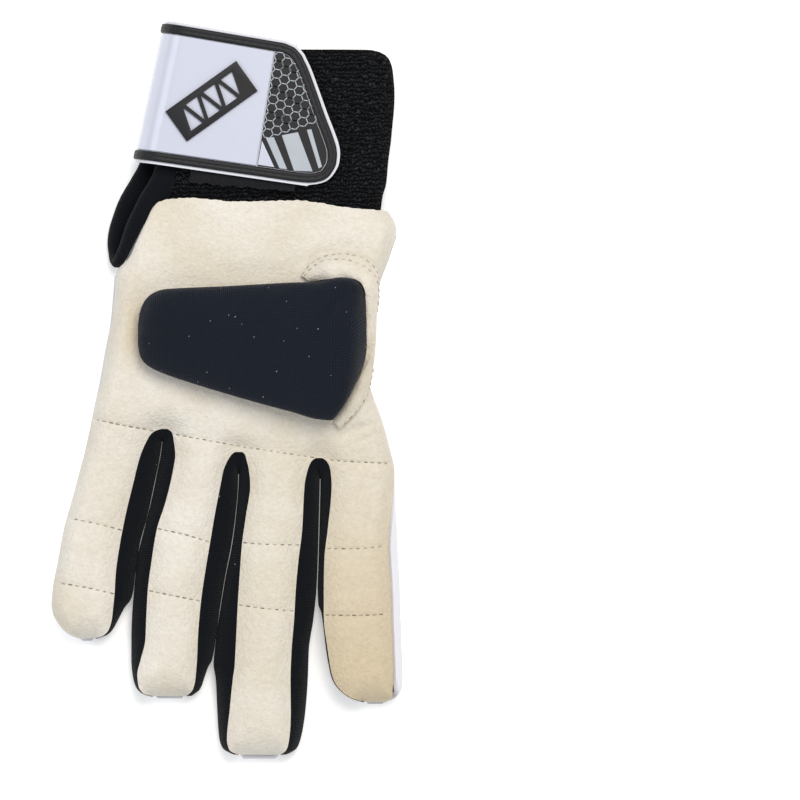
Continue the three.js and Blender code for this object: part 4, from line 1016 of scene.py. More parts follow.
# Index side: the outline, and how far the white back climbs over the side.
RIGHT_EDGE = Table(
    ("y", "outline", "climb"),
    (
        (65.2, 58.1, 0), (62.6, 59.9, 0), (60.1, 61.0, 0), (56.5, 61.2, 0), (52.9, 60.1, 0),
        (47.5, 58.3, 0), (42.1, 56.2, 0), (36.7, 54.3, 0), (31.3, 53.4, 0), (25.9, 52.8, 0),
        (15.1, 51.9, 0), (9.7, 51.1, 0.1), (4.3, 51.3, 0.3), (-1.1, 52.6, 0.1), (-6.5, 54.7, 0),
        (-11.9, 56.5, 0), (-17.3, 58.0, 0), (-22.7, 59.4, 0), (-28.1, 60.5, 0.12), (-33.5, 60.6, 0.3),
        (-38.9, 60.8, 0.5), (-44.3, 61.1, 0.7), (-49.7, 61.4, 0.88), (-57.0, 61.7, 1), (-71.3, 62.5, 1),
        (-82.1, 62.8, 1), (-92.9, 63.2, 1), (-103.7, 63.5, 1), (-106.6, 63.2, 1), (-109.1, 62.1, 0.8),
        (-110.9, 59.9, 0.4), (-112.0, 57.1, 0.1)
    )
)
# Edge of the back beside the slit.
SLIT_BACK_EDGE = Table(
    ("y", "edge", "z"),
    (
        (67.5, -32.2, 0.5), (64.4, -33.4, 0.5), (57.6, -35.2, 0.5), (52.0, -35.6, 0.8), (46.0, -37.2, 2.0),
        (42.1, -39.9, 3.65)
    )
)
# Upper edge of the leather at the wrist, as share across and place along.
WRIST_EDGE = ((0, 68.0), (0.04, 69.2), (0.14, 69.8), (0.35, 68.5), (0.6, 68.9), (0.84, 66.2), (1, 65.2))


class Rail:
    """A leather edge seen in plan; side is 1 where the finger lies to its left."""

    def __init__(self, side: int, x_at: Callable[[Value], Array], start: float, end: float) -> None:
        """Sets up the edge.

        Args:
            side: 1 or -1.
            x_at: Place across for a place along.
            start: Where the edge starts along the glove.
            end: Where it ends.
        """
        self.side = side
        self.x_at = x_at
        self.start = start
        self.end = end
        y = np.linspace(start, end, 90)
        self.line = np.stack([x_at(y), y], axis=1)

    def y(self, s: Value) -> Array:
        """Place along the glove for a share of the edge."""
        return mix(self.start, self.end, s)

    def outward(self, y: Value) -> Array:
        """Direction out of the finger at each place, n by 2."""
        low, high = min(self.start, self.end), max(self.start, self.end)
        y1 = np.minimum(high, y + 0.6)
        y0 = np.maximum(low, y - 0.6)
        slope = (self.x_at(y1) - self.x_at(y0)) / (y1 - y0)
        n = np.hypot(1, slope)
        return np.stack([self.side / n, -self.side * slope / n], axis=-1)

    def distance(self, x: Array, y: Array) -> Array:
        """Distance in plan from places to the edge."""
        return line_distance(self.line, x, y)[0]


@dataclass(frozen=True)
class FormSizes:
    """Heights and reaches that the glove's form is made from."""

    seam_gap: float = 0.35
    palm_height: float = 19
    finger_height: float = 15.6
    palm_ends_y: float = 2
    fingers_start_y: float = -26
    gusset_edge_z: float = 12.3
    gusset_side_z: float = 4.8
    gusset_foot_z: float = 0.25
    gusset_foot_inset: float = 2.2
    gusset_clearance: float = 0.03
    gusset_shoulder: float = 9
    side_shoulder: float = 6.5
    side_roll: float = 4
    side_seam_z: float = 4
    raised_seam_roll_z: float = 5.5
    tip_shoulder: float = 12
    tip_edge_z: float = 5.2
    tip_tab_z: float = 4.2
    web_left_y: float = -9.4
    web_right_y: float = -25.6
    seam_turn: float = 1.41
    slit_shoulder: float = 4
    back_seam_turn: float = 0.22
    wrist_back_y: float = 67.5


@dataclass(frozen=True)
class Crease:
    """A line where the leather sinks or rises."""

    line: tuple[tuple[float, float], ...]
    depth: float
    width: float
    fade: float = 6


@dataclass
class GloveForm:
    """The one outer form that the leather, the gussets and the back share."""

    sizes: FormSizes = field(default_factory=FormSizes)
    seam_depth: float = 0.42
    channel_depth: float = 0.38
    stuffing: tuple[tuple[float, float, int], ...] = ((0.16, 17, 3), (0.05, 6, 5))
    quilting: tuple[tuple[tuple[float, float], ...], ...] = (
        (
            (-47.5, -9.8), (-37.6, -11.9), (-17.1, -15.5), (4.5, -19.4), (27.9, -23.0), (38.7, -24.6),
            (58.6, -25.7)
        ),
        ((-58.2, -45.2), (-47.5, -47.2), (-37.3, -49.9)), ((-25.3, -49.1), (-15.5, -51.2), (-5.9, -54.1)),
        ((5.4, -54.2), (16.2, -54.9), (26.7, -55.1)), ((35.7, -56.4), (46.8, -56.4), (59.0, -55.2)),
        ((-62.4, -68.4), (-51.0, -70.3), (-40.2, -72.8)), ((-28.4, -71.5), (-19.1, -73.3), (-9.2, -75.4)),
        ((4.0, -76.6), (14.4, -78.0), (24.6, -78.9)), ((35.1, -80.3), (46.8, -80.4), (59.3, -79.9))
    )
    creases: tuple[Crease, ...] = (
        Crease(((59, -9), (53, -11.5), (46, -13.6), (39, -17.5)), 1.3, 1.3),
        Crease(((58, -3), (52, -6.5), (47, -10)), 1.1, 1.2),
        Crease(((57, -14), (50, -16.5), (44, -20)), 0.7, 1.3),
        Crease(((56, 47), (50, 51.5), (42, 52.5), (33, 50), (27, 44)), 0.7, 2.0),
        Crease(((30, 48), (20, 44.5), (8, 43), (-4, 43.5)), 0.3, 2.6),
        Crease(((42, -88), (48, -93), (52, -101)), 0.28, 0.9),
        Crease(((56, -84), (51, -92), (50, -104)), 0.22, 0.9),
        Crease(((38, -70), (46, -72), (55, -69)), 0.16, 1.2),
        Crease(((-14, -33), (-7, -36), (0, -37)), 0.18, 1.1),
        Crease(((-37, 28), (-30, 26), (-24, 22)), 0.25, 1.6),
        Crease(((-44, 2), (-36, -1), (-26, -2)), 0.2, 1.8)
    )

    def __post_init__(self) -> None:
        """Makes the edges from the tables."""
        z = self.sizes
        self.palm_left = Rail(-1, self.left_x, LEFT_EDGE.first, z.web_left_y)
        self.palm_right = Rail(1, self.right_x, RIGHT_EDGE.first, z.web_right_y)
        self.little_outer = Rail(-1, self.left_x, z.web_left_y, LEFT_EDGE.last)
        self.index_outer = Rail(1, self.right_x, z.web_right_y, RIGHT_EDGE.last)
        legs = ((LITTLE_RIGHT, RING_LEFT), (RING_RIGHT, MIDDLE_LEFT), (MIDDLE_RIGHT, INDEX_LEFT))
        self.legs = legs
        self.gusset_rails = [(self.leg_rail(1, a), self.leg_rail(-1, b)) for a, b in legs]
        g = self.gusset_rails
        self.finger_rails = [
            (self.little_outer, g[0][0]), (g[0][1], g[1][0]), (g[1][1], g[2][0]),
            (g[2][1], self.index_outer)
        ]
        self.tips = [np.array([left.line[-1], right.line[-1]]) for left, right in self.finger_rails]

    @staticmethod
    def leg_rail(side: int, table: Table) -> Rail:
        """Edge of the leather beside one leg of a gusset."""
        return Rail(side, lambda y: table.at(y, "edge"), table.first, table.last)

    @staticmethod
    def left_x(y: Value) -> Array:
        """Leather edge on the little-finger side."""
        return LEFT_EDGE.at(y, "edge")

    def right_seam(self, y: Value) -> dict[str, Array]:
        """The seam on the index side, which rolls inwards as the white back climbs."""
        z = self.sizes
        climb = RIGHT_EDGE.at(y, "climb")
        roll = mix(z.side_seam_z, z.raised_seam_roll_z, climb)
        angle = climb * z.seam_turn
        x = RIGHT_EDGE.at(y, "outline") - z.side_roll * (1 - np.cos(angle))
        return {"x": x, "z": roll * (1 + np.sin(angle)), "climb": climb, "roll": roll, "angle": angle}

    def right_x(self, y: Value) -> Array:
        """Leather edge on the index side."""
        return self.right_seam(y)["x"]

    def height(self, x: Value, y: Value) -> Array:
        """Height of the smooth leather over the plan."""
        z = self.sizes
        x, y = np.broadcast_arrays(np.asarray(x, float), np.asarray(y, float))
        level = mix(z.finger_height, z.palm_height, smooth(z.fingers_start_y, z.palm_ends_y, y))
        total = np.zeros(x.shape)

        def round_shoulder(t: Array) -> Array:
            """Falls like a quarter circle."""
            return 1 - np.sqrt(np.maximum(0, 1 - (1 - t) ** 2))

        def soft_shoulder(t: Array) -> Array:
            """Falls gently."""
            return (1 - t) ** 2

        def drop(depth: Array, distance: Array, reach: Array, shape: Callable[[Array], Array]) -> Array:
            """One edge's share of the fall."""
            t = np.minimum(1, distance / reach)
            return np.where(distance < reach, (np.maximum(0, depth) * shape(t)) ** 4, 0)

        edge = LEFT_EDGE.at(y, "z")
        reach = mix(z.side_shoulder, z.slit_shoulder, smooth(FLAT_FROM_Y, FLAT_TO_Y, y))
        for rail in (self.palm_left, self.little_outer):
            total = total + drop(level - edge, rail.distance(x, y), reach, round_shoulder)
        seam = self.right_seam(y)
        climb = seam["climb"]
        for rail in (self.palm_right, self.index_outer):
            total = total + drop(
                level - seam["z"], rail.distance(x, y), z.side_shoulder,
                lambda t: mix(round_shoulder(t), soft_shoulder(t), climb)
            )
        for rails in self.gusset_rails:
            near = np.minimum(rails[0].distance(x, y), rails[1].distance(x, y))
            total = total + drop(level - z.gusset_edge_z, near, z.gusset_shoulder, soft_shoulder)
        for tip in self.tips:
            near = line_distance(tip, x, y)[0]
            total = total + drop(level - z.tip_edge_z, near, z.tip_shoulder, round_shoulder)
        return level - total**0.25

    def relief(self, x: Array, y: Array) -> Array:
        """Rises and hollows on the leather: quilting, creases and uneven stuffing."""
        total = sum(depth * ripple(x, y, size, seed) for depth, size, seed in self.stuffing)
        for line in self.quilting:
            near, along = line_distance(np.array(line), x, y)
            tuck = 0.75 + 0.25 * np.cos(2 * math.pi * along / STITCH_PITCH)
            for depth, width in ((self.seam_depth * tuck, 0.55), (self.channel_depth, 3.2)):
                total = total - depth * np.exp(-((near / width) ** 2))
        for crease in self.creases:
            line = np.array(crease.line)
            near, along = line_distance(line, x, y)
            length = np.linalg.norm(np.diff(line, axis=0), axis=1).sum()
            ends = smooth(0, crease.fade, along) * smooth(0, crease.fade, length - along)
            total = total - crease.depth * ends * np.exp(-((near / crease.width) ** 2))
        return total

    def edge_fade(self, x: Array, y: Array) -> Array:
        """Goes to 0 at the leather's edges, so that its relief doesn't open a seam."""
        near = np.full(np.broadcast(x, y).shape, 1e9)
        rails = [self.palm_left, self.palm_right, self.little_outer, self.index_outer]
        for pair in self.gusset_rails:
            rails.extend(pair)
        for rail in rails:
            near = np.minimum(near, rail.distance(x, y))
        for tip in self.tips:
            near = np.minimum(near, line_distance(tip, x, y)[0])
        return smooth(0, 2.2, near)

    def surface(self, x: Array, y: Array) -> Array:
        """Height of the leather with its relief."""
        return self.height(x, y) + self.relief(x, y) * self.edge_fade(x, y)

    def over_gusset(self, x: Array, y: Array) -> Array:
        """Whether a place is over one of the gussets."""
        inside = np.zeros(np.broadcast(x, y).shape, dtype=bool)
        for a, b in self.legs:
            inside |= (y < a.first + 0.6) & (x > a.at(y, "edge") - 0.5) & (x < b.at(y, "edge") + 0.5)
        return inside


def wrist_y(across: Array) -> Array:
    """Upper edge of the leather for a share across."""
    rows = np.array(WRIST_EDGE, float)
    return curve_through(rows[:, 0], rows[:, 1], across)


def finger_stations(length: float) -> Array:
    """Shares down a finger, closer together at its web and its tip."""
    body = np.arange(0, length, 0.62)
    tail = length - np.array([7, 5.5, 4.2, 3.2, 2.4, 1.7, 1.1, 0.65, 0.3, 0.1, 0])
    head = np.array([0, 0.15, 0.35])
    marks = np.concatenate([head, body[(body > 0.6) & (body < length - 7.6)], tail])
    return marks / length


@dataclass
class LeatherPalm:
    """Cream front of the glove with its quilting stitches."""

    form: GloveForm
    wall: float = 1.8
    columns: int = 26
    palm_rows: int = 92
    hole_centre: tuple[float, float] = (44.95, 23.75)
    hole_half: tuple[float, float] = (4.65, 11.15)
    stitch_length: float = 1.7
    index_tan: float = 0.85
    thumb_tan: float = 0.6
    thread: float = 0.42

    def spread(self, outer: int) -> Array:
        """Shares across a finger, closer to an outer side that rolls over."""
        t = np.linspace(0, 1, self.columns + 1)
        if outer == -1:
            t = mix(t, 1 - np.cos(t * math.pi / 2), 0.8)
        elif outer == 1:
            t = mix(t, np.sin(t * math.pi / 2), 0.8)
        t[0], t[-1] = 0.0, 1.0
        return t

    def edge_normal(self, rail: Rail, y: Value) -> Array:
        """Normal of the leather at an edge, n by 3."""
        form = self.form
        out = rail.outward(y)
        ox, oy = out[..., 0], out[..., 1]
        if rail in (form.palm_left, form.little_outer):
            flat = smooth(FLAT_FROM_Y, FLAT_TO_Y, y)
            return np.stack([ox * (1 - 0.5 * flat), oy * (1 - 0.5 * flat), 0.9 * flat], axis=-1)
        if rail in (form.palm_right, form.index_outer):
            angle = form.right_seam(y)["angle"]
            return np.stack([ox * np.cos(angle), oy * np.cos(angle), np.sin(angle)], axis=-1)
        return np.stack([0.75 * ox, 0.75 * oy, np.full(np.shape(ox), 0.66)], axis=-1)

    def build(self) -> None:
        """Makes the leather and its stitches."""
        form, z = self.form, self.form.sizes
        shell = Shell(self.wall)
        spreads = [self.spread(-1), self.spread(0), self.spread(0), self.spread(1)]
        web_x, web_y, starts = [], [], []
        for (left, right), u in zip(form.finger_rails, spreads):
            starts.append(sum(len(w) for w in web_x))
            y0, y1 = left.start, right.start
            web_x.append(mix(left.x_at(y0), right.x_at(y1), u))
            web_y.append(mix(y0, y1, u))
        wx, wy = np.concatenate(web_x), np.concatenate(web_y)
        across = (wx - wx[0]) / (wx[-1] - wx[0])
        v = np.linspace(0, 1, self.palm_rows + 1)
        v = mix(v, np.sin(v * math.pi / 2), 0.15)
        v[-1] = 1.0
        previous = None
        top_y = wrist_y(across) + 0.2 * ripple(wx, 0 * wx, 2.6, 31)
        for k, share in enumerate(v):
            yl = mix(top_y[0], wy[0], share)
            yr = mix(top_y[-1], wy[-1], share)
            xl, xr = form.left_x(yl), form.right_x(yr)
            last = share == 1.0
            x = wx.copy() if last else mix(xl, xr, across)
            y = mix(top_y, wy, share)
            height = form.surface(x, y)
            height[0] = LEFT_EDGE.at(y[0], "z")
            height[-1] = form.right_seam(y[-1])["z"]
            normals = np.full((len(x), 3), np.nan)
            if k == 0:
                normals[:] = (0, 0, 1)
            if last:
                for (left, right), start, u in zip(form.finger_rails, starts, spreads):
                    end = start + len(u) - 1
                    normals[start] = self.edge_normal(left, y[start])
                    normals[end] = self.edge_normal(right, y[end])
            normals[0] = self.edge_normal(form.palm_left, y[0])
            normals[-1] = self.edge_normal(form.palm_right, y[-1])
            previous = shell.follow(previous, np.stack([x, y, height], axis=1), normals)
        for (left, right), start, u in zip(form.finger_rails, starts, spreads):
            line = previous[start : start + len(u)]
            length = abs(left.end - left.start)
            for s in finger_stations(length)[1:]:
                yl, yr = left.y(s), right.y(s)
                x = mix(left.x_at(yl), right.x_at(yr), u)
                y = mix(yl, yr, u)
                at_tip = s > 1 - 1e-9
                height = np.full(x.shape, z.tip_edge_z) if at_tip else form.surface(x, y)
                normals = np.full((len(x), 3), np.nan)
                if at_tip:
                    normals[:] = (0, -0.9, 0.43)
                normals[0] = self.edge_normal(left, y[0])
                normals[-1] = self.edge_normal(right, y[-1])
                if left is form.little_outer:
                    height[0] = LEFT_EDGE.at(y[0], "z")
                if right is form.index_outer:
                    height[-1] = form.right_seam(y[-1])["z"]
                line = shell.follow(line, np.stack([x, y, height], axis=1), normals)
        mesh = shell.mesh(self.outside_hole)
        mesh.tan = self.tan_of(mesh.points)
        make_piece("palm_leather_skin", mesh, Finish.CHAMOIS, ["palm_leather"])
        self.sew()

    def outside_hole(self, middles: Array) -> Array:
        """Which quads lie outside the hole under the thumb."""
        a = np.abs(middles[:, 0] - self.hole_centre[0]) / self.hole_half[0]
        b = np.abs(middles[:, 1] - self.hole_centre[1]) / self.hole_half[1]
        return a**2.5 + b**2.5 > 1

    def tan_of(self, points: Array) -> Array:
        """How much each point is tanned: most at the index fingertip, a little by the thumb's tip."""
        x, y = points[:, 0], points[:, 1]
        index = smooth(29, 37, x) * smooth(2, -105, y)
        thumb = np.exp(-(((x + 33) / 5) ** 2) - ((y - 22) / 14) ** 2)
        return np.clip(self.index_tan * index + self.thumb_tan * thumb, 0, 1)

    def sew(self) -> None:
        """Makes the quilting stitches."""
        form = self.form
        centres, directions, ups = [], [], []
        for line in form.quilting:
            fine = refine(np.array(line), 60)
            places, ahead = spaced(fine, STITCH_PITCH)
            x, y = places[:, 0], places[:, 1]
            free = ~form.over_gusset(x, y)
            edge = np.minimum(x - form.left_x(y), form.right_x(y) - x)
            free &= edge > 1.5
            x, y, ahead = x[free], y[free], ahead[free]
            top = form.surface(x, y) + 0.12
            dx = (form.surface(x + 0.5, y) - form.surface(x - 0.5, y)) / 1.0
            run = np.stack([ahead[:, 0], ahead[:, 1], dx * ahead[:, 0]], axis=1)
            centres.append(np.stack([x, y, top], axis=1))
            directions.append(run / np.linalg.norm(run, axis=1, keepdims=True))
            ups.append(np.tile([0.0, 0.0, 1.0], (len(x), 1)))
        mesh = stitches(
            np.vstack(centres), np.vstack(directions), np.vstack(ups), self.stitch_length, self.thread
        )
        # The thread's darker colour is painted shade of the stitch holes.
        make_piece("quilting_stitches", mesh, Finish.THREAD_CREAM_SHADED)


@dataclass
class Gussets:
    """Black jersey walls between the fingers."""

    form: GloveForm
    wall: float = 1.2
    creases: tuple[float, ...] = (-17.9, -29.6, -31.4)
    names: tuple[str, ...] = ("gusset_little_ring", "gusset_ring_middle", "gusset_middle_index")
    profile: tuple[tuple[float, float], ...] = ((0, 1), (0.45, 0.76), (0.83, 0.38), (1, 0))

    def station(self, g: int, leg: int, s: Array) -> dict[str, Array]:
        """Plan points of a gusset's stations: leather edge, widest line and outward direction."""
        rail = self.form.gusset_rails[g][leg]
        table = self.form.legs[g][leg]
        y = rail.y(s)
        ramp = rail.start - self.creases[g]
        side_y = y - ramp * np.exp((y - rail.start) / (1.15 * ramp))
        side_y = np.maximum(side_y, table.last - 0.2)
        side_x = table.at(side_y, "side") - rail.side * self.form.sizes.gusset_clearance
        edge = np.stack([rail.x_at(y), y], axis=-1)
        return {"out": rail.outward(y), "edge": edge, "side": np.stack([side_x, side_y], axis=-1)}

    def sections(self, g: int, leg: int, s: Array) -> Array:
        """Control points of each station's section, n by 6 by 3."""
        z = self.form.sizes
        at = self.station(g, leg, s)
        out, edge, side = at["out"], at["edge"], at["side"]
        top = self.form.height(edge[:, 0], edge[:, 1])
        top = np.where(s > 1 - 1e-9, z.tip_edge_z, top)
        low = np.minimum(z.gusset_side_z, top * 0.55)
        rows = []
        for share, up in self.profile:
            plan = mix(edge, side, share)
            height = mix(low, top, up)
            if up == 1:
                plan = plan + z.seam_gap * 0.66 * out
                height = height - z.seam_gap * 0.75
            rows.append(np.hstack([plan, height[:, None]]))
        plan = side - 0.5 * out
        rows.append(np.hstack([plan, np.full((len(s), 1), 2.1)]))
        plan = side - (z.gusset_foot_inset - z.seam_gap * 0.8) * out
        rows.append(np.hstack([plan, np.full((len(s), 1), z.gusset_foot_z + z.seam_gap * 0.6)]))
        return np.stack(rows, axis=1)

    def build(self) -> None:
        """Makes the three gussets."""
        for g, name in enumerate(self.names):
            left, right = self.form.gusset_rails[g]
            a = finger_stations(abs(left.end - left.start))[::-1]
            b = finger_stations(abs(right.end - right.start))
            rows = np.vstack([self.sections(g, 0, a), self.sections(g, 1, b)])
            fine = refine(rows.transpose(1, 0, 2), 21).transpose(1, 0, 2)
            gaps = np.linalg.norm(np.diff(fine, axis=1), axis=2)
            across = np.hstack([np.zeros((len(fine), 1)), np.cumsum(gaps, axis=1)])
            step = np.linalg.norm(np.diff(fine[:, 4], axis=0), axis=1)
            along = np.concatenate([[0], np.cumsum(step)])
            shell = Shell(self.wall, up=False)
            previous = None
            for i, row in enumerate(fine):
                swell = 0.18 * np.sin(along[i] / 9.0 + g) + 0.1 * np.sin(along[i] / 3.7)
                inner = np.sin(np.linspace(0, math.pi, len(row)))
                moved = row + np.stack([0 * inner, 0 * inner, swell * inner], axis=1)
                lie = np.stack([across[i], np.full(len(row), along[i])], axis=1)
                previous = shell.follow(previous, moved, None, lie)
            make_piece(name + "_jersey", shell.mesh(), Finish.JERSEY, [name])


@dataclass
class BackPanel:
    """White back, flat on the floor and rolled up at the sides and the fingertips."""

    form: GloveForm
    gussets: Gussets
    wall: float = 1.8
    tabs: tuple[float, ...] = (0.9, 0.9, 1.6, 0.7)
    tab_insets: tuple[float, ...] = (1.2, 2.2, 2.6, 1.2)
    roll_points: int = 9
    finger_width: float = 20
    palm_width: float = 40
    wrist_drop: float = 3
    left_strip: float = 0.45
    tip_fade_y: tuple[float, float, float] = (-112, -107, -102)
    tip_reach: float = 0.15
    tip_lift: float = 0.86

    def left_roll(self, y: float, width: float) -> Array:
        """Points of the roll on the little-finger side, n by 3."""
        form, z = self.form, self.form.sizes
        slit = y > SLIT_END_Y
        table = SLIT_BACK_EDGE if slit else LEFT_EDGE
        x = float(table.at(y, "edge")) - (0 if slit else self.left_strip * smooth(-8, 6, y))
        top = float(table.at(y, "z"))
        top = top if slit else min(3.65, top - z.seam_gap)
        rail = form.palm_left if y > z.web_left_y else form.little_outer
        ox, oy = rail.outward(y)
        reach = min(z.side_roll, 0.3 * width)
        angle = np.linspace(1, 0, self.roll_points) * math.pi / 2
        inward = reach * (1 - np.sin(angle))
        return np.stack([x - ox * inward, y - oy * inward, top * (1 - np.cos(angle))], axis=1)

    def right_roll(self, y: float, width: float) -> Array:
        """Points of the roll on the index side, n by 3."""
        form, z = self.form, self.form.sizes
        seam = form.right_seam(y)
        rail = form.palm_right if y > z.web_right_y else form.index_outer
        ox, oy = rail.outward(y)
        tip, raised, full = self.tip_fade_y
        reach = min(z.side_roll, 0.3 * width) * mix(self.tip_reach, 1, smooth(tip, full, y))
        outline = float(RIGHT_EDGE.at(y, "outline"))
        end = float(seam["angle"]) - z.back_seam_turn
        a = mix(-math.pi / 2, end, np.linspace(0, 1, self.roll_points))
        inward = reach * (1 - np.cos(a))
        lift = mix(self.tip_lift, 1, smooth(tip, raised, y))
        height = float(seam["roll"]) * (1 + np.sin(a)) * lift
        return np.stack([outline - ox * inward, y - oy * inward, height], axis=1)

    def foot(self, f: int, side: int, s: float) -> Array:
        """Where the back meets a gusset, 1 by 3."""
        z = self.form.sizes
        g, leg = (f - 1, 1) if side == -1 else (f, 0)
        at = self.gussets.station(g, leg, np.array([s]))
        plan = at["side"][0] - z.gusset_foot_inset * at["out"][0]
        return np.array([[plan[0], plan[1], z.gusset_foot_z]])

    def finger_row(self, f: int, s: float) -> Array:
        """One row across the back of a finger."""
        form = self.form
        wide = self.finger_width
        left = self.left_roll(float(form.little_outer.y(s)), wide) if f == 0 else self.foot(f, -1, s)
        right = self.right_roll(float(form.index_outer.y(s)), wide) if f == 3 else self.foot(f, 1, s)
        a, b = left[-1], right[0]
        t = np.linspace(0, 1, 10)[1:-1, None]
        inner = mix(a[None], b[None], t)
        inner[:, 2] = 0
        return np.vstack([left, inner, right])

    def build(self) -> None:
        """Makes the back."""
        form, z = self.form, self.form.sizes
        shell = Shell(self.wall, up=False)
        web = [self.finger_row(f, 0.0) for f in range(4)]
        starts = np.cumsum([0] + [len(w) for w in web])[:4]
        web_row = np.vstack(web)
        n = self.roll_points
        first, last = web_row[n - 1], web_row[-n]
        previous = None
        rows = np.concatenate([np.linspace(0, 0.36, 30), np.linspace(0.37, 1, 34)])
        for v in rows:
            yl = mix(z.wrist_back_y, form.little_outer.start, v)
            yr = mix(z.wrist_back_y - self.wrist_drop, form.index_outer.start, v)
            if v > 1 - 1e-9:
                row = web_row
            else:
                left, right = self.left_roll(yl, self.palm_width), self.right_roll(yr, self.palm_width)
                across = ((web_row[:, 0] - first[0]) / (last[0] - first[0]))[n:-n]
                x = mix(left[-1][0], right[0][0], across)
                level = mix(left[-1][1], right[0][1], across)
                start = mix(z.wrist_back_y, z.wrist_back_y - self.wrist_drop, across)
                y = mix(level, mix(start, web_row[n:-n, 1], v), float(smooth(0.35, 0.7, v)))
                row = np.vstack([left, np.stack([x, y, 0 * x], axis=1), right])
            previous = shell.follow(previous, row)
        for f, (left, right) in enumerate(form.finger_rails):
            line = previous[starts[f] : starts[f] + len(web[f])]
            tab_y = min(left.end, right.end) - self.tabs[f]
            for s in finger_stations(abs(left.end - left.start))[1:]:
                row = self.finger_row(f, float(s))
                t = np.clip(1 - (row[:, 1] - tab_y) / 4, 0, 1)
                row[:, 2] = np.maximum(row[:, 2], z.tip_tab_z * (1 - np.sqrt(1 - t * t)))
                line = shell.follow(line, row)
            end = self.finger_row(f, 1.0)
            x = np.linspace(end[0, 0] + self.tab_insets[f], end[-1, 0] - self.tab_insets[f], len(end))
            tab = np.stack([x, np.full(len(x), tab_y), np.full(len(x), z.tip_tab_z)], axis=1)
            shell.follow(line, tab, np.tile([0.0, -1.0, 0.0], (len(x), 1)))
        make_piece("back_panel_cloth", shell.mesh(), Finish.BACK, ["back_panel"])


def ring(count: int, square: float) -> Array:
    """A flattened ring of points within a unit square, n by 2."""
    a = np.arange(count) / count * 2 * math.pi
    c, s = np.cos(a), np.sin(a)
    p = 2 / square
    return np.stack([np.sign(c) * np.abs(c) ** p, np.sign(s) * np.abs(s) ** p], axis=1)


@dataclass
class KnitCuff:
    """Black rib-knit cuff with its wales raised."""

    wall: float = 2.8
    wales: int = 112
    points_per_wale: int = 6
    rib_height: float = 0.28
    columns: tuple[str, ...] = ("y", "left", "right", "low", "high")
    rows: tuple[tuple[float, ...], ...] = (
        (123.2, -15.6, 52.6, 2.4, 18.4), (122.3, -17.5, 56.0, 2.3, 18.6), (119.6, -18.9, 58.9, 2.4, 18.6),
        (115.2, -20.0, 60.1, 2.2, 18.8), (106.9, -21.1, 60.5, 2.2, 18.8), (96.1, -21.6, 59.9, 2.2, 18.8),
        (83.5, -21.8, 58.3, 2.2, 18.8), (74.5, -21.8, 57.4, 2.2, 18.8), (71.2, -21.6, 56.4, 2.2, 16.8),
        (62.5, -20.7, 55.2, 2.2, 16.7)
    )

    def rings(self, wall: float, around: int, along: int) -> Array:
        """Rings of the cuff drawn in by the wall."""
        loop = ring(around * 4, 3.4)
        gaps = np.linalg.norm(np.roll(loop * [38, 8], -1, axis=0) - loop * [38, 8], axis=1)
        place = np.concatenate([[0], np.cumsum(gaps)])
        closed = np.vstack([loop, loop[:1]])
        at = np.arange(around) / around * place[-1]
        even = np.stack([np.interp(at, place, closed[:, k]) for k in range(2)], axis=1)
        out = []
        for y, left, right, low, high in self.rows:
            cx, cz = (left + right) / 2, (low + high) / 2
            hx, hz = (right - left) / 2 - wall, (high - low) / 2 - wall
            out.append(np.stack([cx + hx * even[:, 0], np.full(around, y), cz + hz * even[:, 1]], axis=1))
        return refine(np.array(out), along)

    def build(self) -> None:
        """Makes the cuff."""
        around, along = self.wales * self.points_per_wale, 44
        outer = self.rings(0, around, along)
        inner = self.rings(self.wall, around, along)
        wave = np.abs(np.sin(np.arange(around) / around * self.wales * math.pi))
        drift = ripple(outer[:, :, 0], outer[:, :, 1], 14, 11)
        centre = outer.mean(axis=1, keepdims=True)
        away = outer - centre
        away[:, :, 1] = 0
        away[:, :, 0] *= 0.25
        away /= np.linalg.norm(away, axis=2, keepdims=True)
        rise = self.rib_height * (wave[None] - 1) + 0.12 * np.minimum(0, drift)
        outer = outer + away * rise[:, :, None]
        mesh = tube(outer, inner, False, False)
        make_piece("cuff_rib_knit", mesh, Finish.RIB, ["cuff"], 80)


